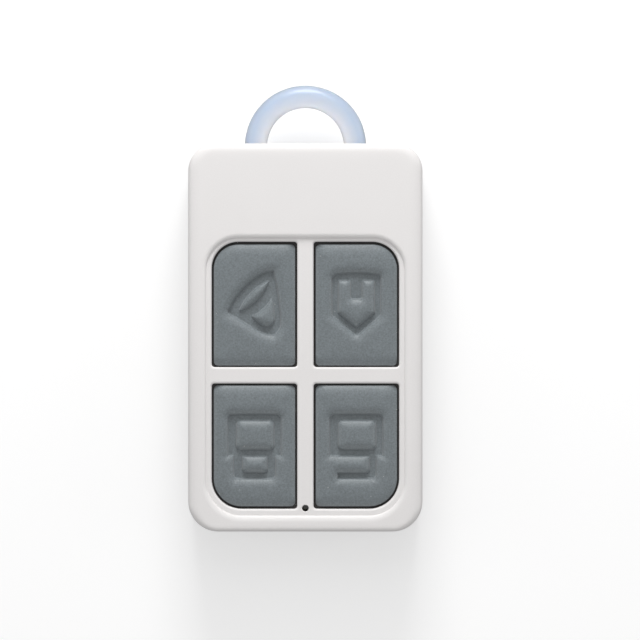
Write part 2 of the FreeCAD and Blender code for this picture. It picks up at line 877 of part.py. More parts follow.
def build_nodes():
    """Every separate piece by its node name."""
    nodes = {
        "front_cover": make_front_cover(),
        "back_cover": make_back_cover(),
        "hanging_loop": make_hanging_loop(),
        "keypad_web": make_keypad_web(),
        "circuit_board": make_circuit_board(),
        "cell_can": make_cell_can(),
        "cell_cap": make_cell_cap(),
        "battery_clip": make_battery_clip(),
        "battery_contact_pad": make_battery_contact_pad(),
        "encoder_chip": make_encoder_chip(),
        "encoder_leads": make_encoder_leads(),
        "radio_resonator": make_radio_resonator(),
        "radio_transistor": make_radio_transistor(),
        "transistor_leads": make_transistor_leads(),
        "chip_resistors": make_chip_resistors(),
        "chip_capacitors": make_chip_capacitors(),
        "indicator_led": make_indicator_led(),
        "antenna_track": make_antenna_track(),
        "case_screws": make_case_screws(),
    }
    for name, (side, row) in KEY_NAMES.items():
        x, y = key_centre(side, row)
        nodes["key_" + name] = make_key(side, row)
        nodes["switch_base_" + name] = make_switch_base(x, y)
        nodes["switch_cover_" + name] = make_switch_cover(x, y)
        nodes["switch_plunger_" + name] = make_switch_plunger(x, y)
        nodes["switch_spring_" + name] = make_switch_spring(x, y)
        nodes["switch_terminals_" + name] = make_switch_terminals(x, y)
    return nodes


os.makedirs("parts", exist_ok=True)
for node_name, node_shape in build_nodes().items():
    node_shape.exportStep("parts/" + node_name + ".step")
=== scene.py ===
import math

import bmesh
import bpy
import numpy
from mathutils import Matrix, Vector


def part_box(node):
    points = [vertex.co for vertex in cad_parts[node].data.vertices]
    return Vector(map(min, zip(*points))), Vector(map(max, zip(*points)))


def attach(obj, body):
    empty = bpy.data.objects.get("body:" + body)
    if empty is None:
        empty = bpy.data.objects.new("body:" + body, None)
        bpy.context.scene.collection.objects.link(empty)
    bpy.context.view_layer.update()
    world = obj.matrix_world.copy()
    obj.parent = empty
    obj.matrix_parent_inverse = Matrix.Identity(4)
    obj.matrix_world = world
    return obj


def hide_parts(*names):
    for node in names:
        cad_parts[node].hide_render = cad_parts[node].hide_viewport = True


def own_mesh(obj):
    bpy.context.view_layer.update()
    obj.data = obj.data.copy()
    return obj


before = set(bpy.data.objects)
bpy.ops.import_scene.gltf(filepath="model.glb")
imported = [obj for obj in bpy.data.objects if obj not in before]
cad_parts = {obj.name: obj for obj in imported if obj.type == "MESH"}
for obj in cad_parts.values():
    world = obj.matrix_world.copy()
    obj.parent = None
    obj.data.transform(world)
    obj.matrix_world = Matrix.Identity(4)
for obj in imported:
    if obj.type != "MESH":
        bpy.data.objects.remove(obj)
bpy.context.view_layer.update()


# Back cover
# The rear half of the case, one white ABS moulding that carries everything else. A rebate in its rim
# takes the front cover's tongue, and a pillar in each top corner has a sunk seat for a case screw.
WALL = 1.5
BACK_WALL = 1.3
BACK_ROUND = 1.2
BOTTOM_CORNER = 4.5
TOP_CORNER = 4.1
SMALLEST_RADIUS = 0.05
SEAM_BEVEL = 0.13
FLAT_MARGIN = 0.04
TONGUE = 0.65
TONGUE_HEIGHT = 0.8
TONGUE_GAP = 0.05
SCREW_HEAD = 3.6
SCREW_HEAD_HEIGHT = 1.2
SCREW_HEAD_GAP = 0.2
SCREW_HEAD_SINK = 0.4
SCREW_SHANK = 2.0
SCREW_HOLE_GAP = 0.1
PILLAR_WALL = 0.6
PILLAR_RIB_OFFSET = 1.1
SEAT_BEVEL = 0.2
LOOP_THICKNESS = 3.36
LOOP_SINK = 0.2
LEG_GAP = 0.05
RIB = 1.0
FOOT_RIB = 6.0
FOOT_GAP = 0.1
POST = 2.0
POST_INSET = 2.6
POST_RISE = 5.5
TOP_POST_X = 5.6
TOP_POST_DROP = 1.7
CRADLE_GAP = 0.3
CRADLE_RIB = 4.0
CRADLE_RISE = 2.2
CRADLE_TURNS = (35, 90, 145, 215, 270, 325)
HOOK_X = 8.0
HOOK_WIDTH = 4.0
HOOK_REACH = 2.4
HOOK_BARB = 0.5
HOOK_BARB_HEIGHT = 0.8
HOOK_GAP = 0.1
EMBED = 0.2
CORNER_STEPS = 14
ROUND_STEPS = 8
BEVEL_STEPS = 4
CIRCLE_STEPS = 48
CREASE_ANGLE = math.radians(38)
CORNER_SIDES = ((-1, -1), (1, -1), (1, 1), (-1, 1))

# The meshes are shaped in millimetres and brought to metres when each piece is finished.
mm = 0.001


def node_box(node):
    """The lowest and highest corners of a piece of the frame, in millimetres."""
    low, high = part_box(node)
    return low / mm, high / mm


back_high = node_box("back_cover")[1]
loop_low, loop_high = node_box("hanging_loop")
screws_low, screws_high = node_box("case_screws")
board_low, board_high = node_box("circuit_board")
cell_low, cell_high = node_box("cell_can")
bell_low = node_box("key_bell")[0]
lock_high = node_box("key_lock")[1]
half_width = back_high.x
half_length = back_high.y
parting_z = back_high.z
screw_x = screws_high.x - SCREW_HEAD / 2
screw_y = (screws_low.y + screws_high.y) / 2
top_post_y = board_high.y - TOP_POST_DROP
middle_post_y = (bell_low.y + lock_high.y) / 2
loop_centre_y = half_length - LOOP_SINK
loop_outer_radius = loop_high.y - loop_centre_y
leg_x = loop_outer_radius - LOOP_THICKNESS / 2


class Outline:
    """A rectangle in plan with a radius at the bottom left, bottom right, top right and top left."""

    def __init__(self, left, right, bottom, top, radii):
        self.left = left
        self.right = right
        self.bottom = bottom
        self.top = top
        self.radii = radii
        self.middle_x = (left + right) / 2
        self.middle_y = (bottom + top) / 2
        self.half_across = (right - left) / 2
        self.half_along = (top - bottom) / 2

    def grown(self, sides, bottom=None, top=None):
        """The outline moved outwards, by its own distance at the bottom and top where they are given."""
        below = sides if bottom is None else bottom
        above = sides if top is None else top
        radii = [max(radius + sides, SMALLEST_RADIUS) for radius in self.radii]
        return Outline(self.left - sides, self.right + sides, self.bottom - below, self.top + above, radii)

    def corner(self, x, y):
        """The corner that a point is nearest to, and its place from the centre of that rounding."""
        side = 1 if x > self.middle_x else -1
        end = 1 if y > self.middle_y else -1
        index = CORNER_SIDES.index((side, end))
        radius = self.radii[index]
        across = abs(x - self.middle_x) - self.half_across + radius
        along = abs(y - self.middle_y) - self.half_along + radius
        return index, across, along

    def corner_place(self, index, across, along):
        """The place that lies this many radii from the centre of a corner's rounding."""
        radius = self.radii[index]
        side, end = CORNER_SIDES[index]
        from_middle_x = self.half_across + radius * (across - 1)
        from_middle_y = self.half_along + radius * (along - 1)
        return self.middle_x + side * from_middle_x, self.middle_y + end * from_middle_y

    def distance(self, x, y):
        """How far a point lies outside the outline, negative inside it."""
        index, across, along = self.corner(x, y)
        return math.hypot(max(across, 0), max(along, 0)) + min(max(across, along), 0) - self.radii[index]

    def carried(self, x, y, other):
        """The place on another outline that matches a place on this one's corners."""
        index, across, along = self.corner(x, y)
        radius = self.radii[index]
        return other.corner_place(index, across / radius, along / radius)

    def place(self, u, v):
        """The place in the outline of a point of a square that reaches from -1 to 1 each way."""
        x = self.middle_x + u * self.half_across
        y = self.middle_y + v * self.half_along
        index, across, along = self.corner(x, y)
        if across > 0 and along > 0:
            pull = max(across, along) / math.hypot(across, along) / self.radii[index]
            x, y = self.corner_place(index, across * pull, along * pull)
        return x, y

    def ring(self, bm, z):
        """The outline as a closed ring of edges at a height."""
        before = set(bm.edges)
        corners = []
        for side, end in CORNER_SIDES:
            place = (self.middle_x + side * self.half_across, self.middle_y + end * self.half_along, z)
            corners.append(bm.verts.new(place))
        bm.faces.new(corners)
        for corner, radius in zip(corners, self.radii):
            bmesh.ops.bevel(
                bm, geom=[corner], offset=radius, offset_type="OFFSET", segments=CORNER_STEPS,
                profile=0.5, affect="VERTICES", material=-1,
            )
        edges = [edge for edge in bm.edges if edge not in before]
        filling = {face for edge in edges for face in edge.link_faces}
        bmesh.ops.delete(bm, geom=list(filling), context="FACES_ONLY")
        return edges


def parts_of(geometry, kind):
    """The vertices or edges among what an operator made."""
    return [item for item in geometry if isinstance(item, kind)]


def edges_between(bm, verts):
    """The edges of a mesh that have both ends among some vertices."""
    ends = set(verts)
    return [edge for edge in bm.edges if ends.issuperset(edge.verts)]


def drawn_out(bm, edges):
    """Extrudes edges into a wall that has no height yet; its new edges and vertices."""
    made = bmesh.ops.extrude_edge_only(bm, edges=edges)["geom"]
    return parts_of(made, bmesh.types.BMEdge), parts_of(made, bmesh.types.BMVert)


def drawn_ring(bm, stations):
    """A wall drawn from one outline and height to the next; its first and last rings of edges."""
    first = last = stations[0][0].ring(bm, stations[0][1])
    for (outline, _), (next_outline, next_z) in zip(stations, stations[1:]):
        last, verts = drawn_out(bm, last)
        for vertex in verts:
            vertex.co = (*outline.carried(vertex.co.x, vertex.co.y, next_outline), next_z)
    return first, last


def drawn_bore(bm, x, y, stations):
    """A round wall drawn from one radius and height to the next; its first and last rings of edges."""
    radius, z = stations[0]
    made = bmesh.ops.create_circle(
        bm, cap_ends=False, segments=CIRCLE_STEPS, radius=radius, matrix=Matrix.Translation((x, y, z)),
    )
    first = last = edges_between(bm, made["verts"])
    for (radius, z), (next_radius, next_z) in zip(stations, stations[1:]):
        last, verts = drawn_out(bm, last)
        grow = next_radius / radius
        bmesh.ops.scale(bm, vec=(grow, grow, 1), space=Matrix.Translation((-x, -y, 0)), verts=verts)
        bmesh.ops.translate(bm, vec=(0, 0, next_z - z), verts=verts)
    return first, last


def flat_face(bm, edges):
    """Fills a flat outline, less the holes that lie in it."""
    bmesh.ops.triangle_fill(bm, use_beauty=True, edges=edges, normal=(0, 0, 1))


def quarter_round(steps):
    """The way across and up a quarter circle, from upright to level, as shares of its radius."""
    turns = [math.pi / 2 * step / steps for step in range(steps + 1)]
    return [(1 - math.cos(turn), math.sin(turn)) for turn in turns]


def bevelled_mouth(radius, bevel, z, inward):
    """The radii and heights of a bore's mouth in a face at a height; inward is 1 for up, -1 for down."""
    curve = [
        (radius + bevel * inset, z + inward * bevel * (1 - rise))
        for inset, rise in reversed(quarter_round(BEVEL_STEPS))
    ]
    return [(radius + bevel + FLAT_MARGIN, z)] + curve


def object_in_metres(name, bm):
    """Turns a mesh in millimetres into an object in metres."""
    bm.transform(Matrix.Scale(mm, 4))
    mesh = bpy.data.meshes.new(name)
    bm.to_mesh(mesh)
    bm.free()
    made = bpy.data.objects.new(name, mesh)
    bpy.context.scene.collection.objects.link(made)
    return made


def finished_piece(name, bm, material, body, replaced):
    """Makes a closed mesh a piece that rides on its body in the place of a piece of the frame."""
    bmesh.ops.recalc_face_normals(bm, faces=bm.faces)
    piece = object_in_metres(name, bm)
    piece.data.shade_smooth()
    piece.data.set_sharp_from_angle(angle=CREASE_ANGLE)
    piece.data.materials.append(material)
    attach(piece, body)
    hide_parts(replaced)
    return piece


def cut_away(piece, bm):
    """Cuts a closed mesh in millimetres out of a finished piece."""
    cutter = object_in_metres("cutter", bm)
    cut = piece.modifiers.new("cut", "BOOLEAN")
    cut.operation = "DIFFERENCE"
    cut.solver = "EXACT"
    cut.use_self = True
    cut.object = cutter
    seen = bpy.context.evaluated_depsgraph_get()
    piece.data = bpy.data.meshes.new_from_object(piece.evaluated_get(seen))
    piece.modifiers.clear()
    bpy.data.objects.remove(cutter)
    piece.data.set_sharp_from_angle(angle=CREASE_ANGLE)


def socket_type(value):
    """The type of socket for a number, a colour or a vector."""
    if isinstance(value, float):
        return "NodeSocketFloat"
    return "NodeSocketColor" if len(value) == 4 else "NodeSocketVector"


def shader_group(name, inputs, outputs):
    """A group with sockets for these values, and the sockets inside that give and take them."""
    group = bpy.data.node_groups.new(name, "ShaderNodeTree")
    for label, value in inputs.items():
        socket = group.interface.new_socket(name=label, in_out="INPUT", socket_type=socket_type(value))
        socket.default_value = value
    for label, value in outputs.items():
        group.interface.new_socket(name=label, in_out="OUTPUT", socket_type=socket_type(value))
    return group, group.nodes.new("NodeGroupInput").outputs, group.nodes.new("NodeGroupOutput").inputs


def fed_node(tree, kind, operation, values):
    """A maths node of some kind whose inputs are sockets or plain values."""
    node = tree.nodes.new(kind)
    node.operation = operation
    for socket, value in zip(node.inputs, values):
        if isinstance(value, bpy.types.NodeSocket):
            tree.links.new(value, socket)
        else:
            socket.default_value = value
    return node


def math_node(tree, operation, first, second):
    """The result socket of a maths node."""
    return fed_node(tree, "ShaderNodeMath", operation, (first, second)).outputs[0]


def vector_node(tree, operation, first, second):
    """A vector maths node."""
    return fed_node(tree, "ShaderNodeVectorMath", operation, (first, second))


def place_in_object(tree):
    """The place on the piece in metres; its vector socket."""
    return tree.nodes.new("ShaderNodeTexCoord").outputs["Object"]


def place_in_grains(tree, sizes):
    """The place on the piece, counted in three sizes in metres; its vector socket."""
    spread_out = tree.nodes.new("ShaderNodeCombineXYZ")
    for size, socket in zip(sizes, spread_out.inputs):
        tree.links.new(size, socket)
    return vector_node(tree, "DIVIDE", place_in_object(tree), spread_out.outputs[0]).outputs[0]


def noise_on_object(tree, sizes, detail):
    """Noise fixed to the piece, whose grains have three sizes in metres; its value socket."""
    noise = tree.nodes.new("ShaderNodeTexNoise")
    noise.inputs["Scale"].default_value = 1
    noise.inputs["Detail"].default_value = detail
    tree.links.new(place_in_grains(tree, sizes), noise.inputs["Vector"])
    return noise.outputs[0]


GREY = (0.5, 0.5, 0.5, 1)
SURFACE_OUTPUTS = {"Colour": GREY, "Roughness": 0.5, "Height": 0.5}


def varied_surface(tree, given, result, fine, fine_tone, slow, slow_tone):
    """Lets fine and slow noise vary the colour, slow noise the gloss, and fine noise the height."""
    centred_fine = math_node(tree, "SUBTRACT", fine, 0.5)
    centred_slow = math_node(tree, "SUBTRACT", slow, 0.5)
    fine_share = math_node(tree, "MULTIPLY", centred_fine, given[fine_tone])
    slow_share = math_node(tree, "MULTIPLY", centred_slow, given[slow_tone])
    tone = math_node(tree, "ADD", math_node(tree, "ADD", fine_share, slow_share), 1)
    tint = tree.nodes.new("ShaderNodeVectorMath")
    tint.operation = "SCALE"
    tree.links.new(given["Colour"], tint.inputs[0])
    tree.links.new(tone, tint.inputs["Scale"])
    gloss = math_node(tree, "MULTIPLY", centred_slow, given["Roughness Spread"])
    roughness = math_node(tree, "ADD", gloss, given["Roughness"])
    tree.links.new(tint.outputs[0], result["Colour"])
    tree.links.new(roughness, result["Roughness"])
    tree.links.new(fine, result["Height"])


def make_moulded_grain():
    """The fine grain that a spark-eroded mould leaves, with slow patches of tone and gloss."""
    tree, given, result = shader_group(
        "moulded_grain",
        {
            "Colour": GREY, "Grain Size": 0.0002, "Grain Tone": 0.03, "Patch Size": 0.01,
            "Patch Tone": 0.02, "Roughness": 0.5, "Roughness Spread": 0.05,
        },
        SURFACE_OUTPUTS,
    )
    grain = noise_on_object(tree, [given["Grain Size"]] * 3, detail=2)
    patch = noise_on_object(tree, [given["Patch Size"]] * 3, detail=3)
    varied_surface(tree, given, result, grain, "Grain Tone", patch, "Patch Tone")
    return tree


moulded_grain = make_moulded_grain()


def set_inputs(node, values):
    """Sets a node's own sockets by name."""
    for label, value in values.items():
        node.inputs[label].default_value = value


def group_node(tree, group, values):
    """A node that holds a group, with its inputs set."""
    node = tree.nodes.new("ShaderNodeGroup")
    node.node_tree = group
    set_inputs(node, values)
    return node


def grained_material(name, finish, surface_values, bump, shader_values):
    """A finish: a group of grain or streaks drives colour, roughness and bump of one shader."""
    material = bpy.data.materials.new(name)
    material.use_nodes = True
    tree = material.node_tree
    shader = tree.nodes["Principled BSDF"]
    set_inputs(shader, shader_values)
    surface = group_node(tree, finish, surface_values)
    surface.name = "surface"
    height = tree.nodes.new("ShaderNodeBump")
    set_inputs(height, {"Strength": 1, "Distance": bump})
    tree.links.new(surface.outputs["Height"], height.inputs["Height"])
    tree.links.new(surface.outputs["Colour"], shader.inputs["Base Color"])
    tree.links.new(surface.outputs["Roughness"], shader.inputs["Roughness"])
    tree.links.new(height.outputs["Normal"], shader.inputs["Normal"])
    return material


def moulded_finish(name, colour, grain, patch, roughness, bump, shader_values):
    """A moulded surface; grain and patches have a size in metres and a tone, roughness has a spread."""
    values = {
        "Colour": colour, "Grain Size": grain[0], "Grain Tone": grain[1], "Patch Size": patch[0],
        "Patch Tone": patch[1], "Roughness": roughness[0], "Roughness Spread": roughness[1],
    }
    return grained_material(name, moulded_grain, values, bump, shader_values)


white_abs = moulded_finish(
    "satin_white_abs", (0.798, 0.779, 0.772, 1), grain=(0.00022, 0.05), patch=(0.006, 0.02),
    roughness=(0.45, 0.08), bump=0.0000015, shader_values={"IOR": 1.5},
)

housing = Outline(
    -half_width, half_width, -half_length, half_length,
    [BOTTOM_CORNER, BOTTOM_CORNER, TOP_CORNER, TOP_CORNER],
)
cavity = housing.grown(-WALL)
rebate_z = parting_z - TONGUE_HEIGHT - TONGUE_GAP


def add_block(bm, low, high, turned=Matrix.Identity(4)):
    """A closed block between two corners, turned about the origin afterwards."""
    low, high = Vector(low), Vector(high)
    place = Matrix.Translation((low + high) / 2) @ Matrix.Diagonal((*(high - low), 1))
    bmesh.ops.create_cube(bm, size=1, matrix=turned @ place)


def add_post(bm, x, y, side, z_from, z_to):
    """A square post between two heights."""
    add_block(bm, (x - side / 2, y - side / 2, z_from), (x + side / 2, y + side / 2, z_to))


def add_shared_ribs(bm, z_from, pillar_z_to, z_to):
    """The ribs behind the loop's feet and beside the screw pillars, which both covers have."""
    rib_y = loop_low.y - FOOT_GAP
    side_y = screw_y + PILLAR_RIB_OFFSET
    for side in (-1, 1):
        middle = side * leg_x
        add_block(bm, (middle - FOOT_RIB / 2, rib_y - RIB, z_from), (middle + FOOT_RIB / 2, rib_y, z_to))
        near, far = sorted((side * (screw_x + PILLAR_WALL), side * (half_width - WALL + EMBED)))
        add_block(bm, (near, side_y, z_from), (far, side_y + RIB, pillar_z_to))


def add_back_inside(bm):
    """The board's posts and the ribs of the cell's cradle, all rising from the floor."""
    floor_z = BACK_WALL - EMBED
    add_shared_ribs(bm, floor_z, rebate_z, parting_z)
    post_x = half_width - WALL - POST_INSET
    places = [(post_x, POST_RISE - half_length + WALL), (post_x, middle_post_y), (TOP_POST_X, top_post_y)]
    for x, y in places + [(-x, y) for x, y in places]:
        add_post(bm, x, y, POST, floor_z, board_low.z)
    near = (cell_high.x - cell_low.x) / 2 + CRADLE_GAP
    cell_place = Matrix.Translation((0, (cell_low.y + cell_high.y) / 2, 0))
    for turn in CRADLE_TURNS:
        add_block(
            bm, (near, -CRADLE_RIB / 2, floor_z), (near + RIB, CRADLE_RIB / 2, cell_low.z + CRADLE_RISE),
            cell_place @ Matrix.Rotation(math.radians(turn), 4, "Z"),
        )


def make_back_cover():
    """The closed shell: back face with two screw seats, rounded edge, seam, rebate and floor."""
    bm = bmesh.new()
    back_edge = [
        (housing.grown(-BACK_ROUND * inset), BACK_ROUND * (1 - rise))
        for inset, rise in reversed(quarter_round(ROUND_STEPS))
    ]
    rebate = cavity.grown(TONGUE + TONGUE_GAP)
    back_face, floor = drawn_ring(bm, [
        (housing.grown(-BACK_ROUND - FLAT_MARGIN), 0),
        *back_edge,
        (housing, BACK_ROUND + FLAT_MARGIN), (housing, parting_z - SEAM_BEVEL - FLAT_MARGIN),
        (housing, parting_z - SEAM_BEVEL), (housing.grown(-SEAM_BEVEL), parting_z),
        (rebate, parting_z), (rebate, rebate_z), (cavity, rebate_z), (cavity, BACK_WALL),
    ])
    seat_radius = SCREW_HEAD / 2 + SCREW_HEAD_GAP
    pillar_radius = seat_radius + PILLAR_WALL
    hole_radius = SCREW_SHANK / 2 + SCREW_HOLE_GAP
    seat_z = SCREW_HEAD_SINK + SCREW_HEAD_HEIGHT
    for x in (-screw_x, screw_x):
        mouth, foot = drawn_bore(bm, x, screw_y, [
            *bevelled_mouth(seat_radius, SEAT_BEVEL, 0, 1),
            (seat_radius, seat_z), (hole_radius, seat_z), (hole_radius, parting_z),
            (pillar_radius, parting_z), (pillar_radius, BACK_WALL),
        ])
        back_face += mouth
        floor += foot
    flat_face(bm, back_face)
    flat_face(bm, floor)
    add_back_inside(bm)
    return finished_piece("moulded_back_cover", bm, white_abs, "housing", "back_cover")


def make_leg_bores():
    """Two rods that fill the holes for the loop's legs through the top wall."""
    bm = bmesh.new()
    radius = LOOP_THICKNESS / 2 + LEG_GAP
    lie_along = Matrix.Rotation(math.pi / 2, 4, "X")
    for x in (-leg_x, leg_x):
        middle = Matrix.Translation((x, half_length - WALL / 2, parting_z))
        bmesh.ops.create_cone(
            bm, cap_ends=True, segments=CIRCLE_STEPS, radius1=radius, radius2=radius, depth=3 * WALL,
            matrix=middle @ lie_along,
        )
    return bm


def add_hook_pockets(bm):
    """Two blocks that fill the pockets for the snap hooks' barbs in the bottom wall."""
    inner_y = WALL - half_length
    barb_z = parting_z - HOOK_REACH
    reach_x = HOOK_WIDTH / 2 + HOOK_GAP
    for x in (-HOOK_X, HOOK_X):
        add_block(
            bm, (x - reach_x, inner_y - HOOK_BARB - HOOK_GAP, barb_z - HOOK_GAP),
            (x + reach_x, inner_y + HOOK_GAP, barb_z + HOOK_BARB_HEIGHT + HOOK_GAP),
        )


back_cover_cutters = make_leg_bores()
add_hook_pockets(back_cover_cutters)
cut_away(make_back_cover(), back_cover_cutters)


# Hanging loop
# A half ring of round, translucent bluish silicone with straight legs. Each leg ends inside the case
# in a square foot that two ribs trap behind the top wall.
LOOP_FOOT = 4.8
LOOP_FOOT_THICKNESS = 1.5
FOOT_ROUND = 0.4
LOOP_SPANS = 96
LOOP_OUTSIDE = (0.57, 0.66, 0.81, 1)
COLOUR_OUTPUT = {"Colour": GREY}


def mixed_colour(tree, share, first, second):
    """A colour part of the way from one socket's to another's; its result socket."""
    node = tree.nodes.new("ShaderNodeMix")
    node.data_type = "RGBA"
    ends = [socket for socket in node.inputs if socket.type == "RGBA"]
    tree.links.new(share, node.inputs["Factor"])
    tree.links.new(first, ends[0])
    tree.links.new(second, ends[1])
    return next(socket for socket in node.outputs if socket.type == "RGBA")


def share_of(tree, part, whole):
    """A part of a whole as a share from 0 to 1; its value socket."""
    share = math_node(tree, "DIVIDE", part, whole)
    return math_node(tree, "MAXIMUM", math_node(tree, "MINIMUM", share, 1), 0)


def make_painted_bend_glow():
    """Painted light: milky silicone is pale on the inside of a bend, where light through the bend gathers,
    and bluer towards its outside.
    """
    tree, given, result = shader_group(
        "painted_bend_glow",
        {
            "Painted Glow Colour": GREY, "Outside Colour": GREY, "Bend Centre": (0, 0, 0),
            "Inside Radius": 0.005, "Outside Radius": 0.01,
        },
        COLOUR_OUTPUT,
    )
    flat = vector_node(tree, "MULTIPLY", place_in_object(tree), (1, 1, 0)).outputs[0]
    away = vector_node(tree, "DISTANCE", flat, given["Bend Centre"]).outputs["Value"]
    depth = math_node(tree, "SUBTRACT", away, given["Inside Radius"])
    whole = math_node(tree, "SUBTRACT", given["Outside Radius"], given["Inside Radius"])
    share = share_of(tree, depth, whole)
    colour = mixed_colour(tree, share, given["Painted Glow Colour"], given["Outside Colour"])
    tree.links.new(colour, result["Colour"])
    return tree


def tinted_by(material, group, values):
    """Feeds a group's colour to a grained material in place of a plain colour."""
    tree = material.node_tree
    tint = group_node(tree, group, values)
    tree.links.new(tint.outputs["Colour"], tree.nodes["surface"].inputs["Colour"])


loop_silicone = moulded_finish(
    "translucent_loop_silicone", LOOP_OUTSIDE, grain=(0.0004, 0.015), patch=(0.004, 0.03),
    roughness=(0.3, 0.06), bump=0.000001,
    shader_values={
        "IOR": 1.41, "Subsurface Weight": 1.0, "Subsurface Radius": (0.002, 0.0026, 0.0034),
        "Subsurface Scale": 1.0, "Transmission Weight": 0.7, "Coat Weight": 0.5, "Coat Roughness": 0.12,
    },
)
# Painted light: the inside of the loop's bend is painted pale for the light that passes through the
# silicone and gathers there.
tinted_by(loop_silicone, make_painted_bend_glow(), {
    "Painted Glow Colour": (0.95, 0.93, 0.94, 1), "Outside Colour": LOOP_OUTSIDE,
    "Bend Centre": (0, loop_centre_y * mm, 0),
    "Inside Radius": (loop_outer_radius - LOOP_THICKNESS) * mm,
    "Outside Radius": (loop_outer_radius - LOOP_THICKNESS / 3) * mm,
})


def make_hanging_loop():
    """The ring, spun from one round section, its legs drawn out straight and its feet."""
    bm = bmesh.new()
    stand = Matrix.Rotation(math.pi / 2, 4, "X")
    start = Matrix.Translation((leg_x, loop_centre_y, parting_z))
    section = bmesh.ops.create_circle(
        bm, cap_ends=False, segments=CIRCLE_STEPS, radius=LOOP_THICKNESS / 2, matrix=start @ stand,
    )
    first = edges_between(bm, section["verts"])
    turned = bmesh.ops.spin(
        bm, geom=section["verts"] + first, cent=(0, loop_centre_y, parting_z), axis=(0, 0, 1),
        angle=math.pi, steps=LOOP_SPANS,
    )
    foot_top_y = loop_low.y + LOOP_FOOT_THICKNESS
    for end in (first, parts_of(turned["geom_last"], bmesh.types.BMEdge)):
        rim, tip = drawn_out(bm, end)
        bmesh.ops.translate(bm, verts=tip, vec=(0, foot_top_y - FOOT_ROUND - loop_centre_y, 0))
        bmesh.ops.contextual_create(bm, geom=rim)
    for x in (-leg_x, leg_x):
        size = Matrix.Diagonal((LOOP_FOOT, LOOP_FOOT_THICKNESS, LOOP_FOOT, 1))
        middle = Matrix.Translation((x, loop_low.y + LOOP_FOOT_THICKNESS / 2, parting_z))
        foot = bmesh.ops.create_cube(bm, size=1, matrix=middle @ size)
        bmesh.ops.bevel(
            bm, geom=edges_between(bm, foot["verts"]), offset=FOOT_ROUND, segments=BEVEL_STEPS,
            profile=0.5, affect="EDGES", material=-1,
        )
    finished_piece("silicone_hanging_loop", bm, loop_silicone, "housing", "hanging_loop")


make_hanging_loop()


# Keys
# Four separate keys of grey matte silicone, pillowed towards their edges, each on a flange that the
# front cover holds in. A sign is moulded into each top as a flat-bottomed groove with soft edges.
KEY_SIDES = {"bell": (-1, 1), "home": (1, 1), "lock": (-1, -1), "unlock": (1, -1)}
FLANGE_OVERLAP = 0.5
FLANGE_THICKNESS = 0.6
WINDOW_TOP_CORNER = 4.0
WINDOW_BOTTOM_CORNER = 4.5
WINDOW_SMALL_CORNER = 0.45
KEY_SMALL_CORNER = 0.6
KEY_SIDE_GAP = 0.32
KEY_WALL = 2.2
KEY_POCKET = 0.7
KEY_NUB = 2.6
KEY_NUB_HEIGHT = 0.3
KEY_SPACING = 0.065
PILLOW_DROP = 0.55
PILLOW_FADE = 0.78
PILLOW_CORNER = 1.6
GROOVE_DEPTH = 1.0
GROOVE_WALL = 0.26
GROOVE_LIP = 0.42
GROOVE_LIP_REACH = 1.7
GROOVE_BLEND = 0.3
LIP_BLUR_CELLS = 4
LIP_BLUR_PASSES = 2
SIGN_REACH = 6.9
BOW_STEPS = 8
# How far below a key's top the painted shade of the gap round the key begins, and how far it fades in.
PAINTED_SHADE_DEPTH = 1.15
PAINTED_SHADE_FADE = 0.25
DUST_COVER = 0.7
# How far a key's outline is grown from its window's at the bottom and the top, in the upper row, 1, and
# in the lower row, -1.
KEY_ROW_GROWTH = {1: (-0.22, -0.42), -1: (-0.38, -0.32)}


def window_outline(name):
    """The key window of a key, which lies inside the box of the key's flange."""
    side, row = KEY_SIDES[name]
    low, high = node_box("key_" + name)
    radii = [WINDOW_SMALL_CORNER] * 4
    radii[CORNER_SIDES.index((side, row))] = WINDOW_TOP_CORNER if row > 0 else WINDOW_BOTTOM_CORNER
    window = Outline(low.x, high.x, low.y, high.y, radii).grown(-FLANGE_OVERLAP)
    window.radii = radii
    return window


class Bowed:
    """A closed shape with straight or bowed sides: corners (x, y, bow), counted anticlockwise."""

    def __init__(self, corners):
        self.points = []
        for (x_from, y_from, bow), (x_to, y_to, _) in zip(corners, corners[1:] + corners[:1]):
            length = math.hypot(x_to - x_from, y_to - y_from)
            out_x = (y_to - y_from) / length
            out_y = (x_from - x_to) / length
            for step in range(BOW_STEPS if bow else 1):
                share = step / BOW_STEPS
                lift = 4 * bow * share * (1 - share)
                x = x_from + (x_to - x_from) * share + out_x * lift
                y = y_from + (y_to - y_from) * share + out_y * lift
                self.points.append((x, y))

    def distance(self, x, y):
        """How far a point lies outside the shape, negative inside it."""
        nearest = math.inf
        inside = False
        for (x_from, y_from), (x_to, y_to) in zip(self.points, self.points[1:] + self.points[:1]):
            run_x = x_to - x_from
            run_y = y_to - y_from
            share = ((x - x_from) * run_x + (y - y_from) * run_y) / (run_x ** 2 + run_y ** 2)
            share = min(max(share, 0), 1)
            nearest = min(nearest, math.hypot(x - x_from - share * run_x, y - y_from - share * run_y))
            if (y_from > y) != (y_to > y) and x < x_from + (y - y_from) / run_y * run_x:
                inside = not inside
        return -nearest if inside else nearest


def block(left, right, bottom, top, below=(SMALLEST_RADIUS,) * 2, above=(SMALLEST_RADIUS,) * 2):
    """A rectangle of a sign: two radii below, left and right, and two above, right and left."""
    return Outline(left, right, bottom, top, [*below, *above])


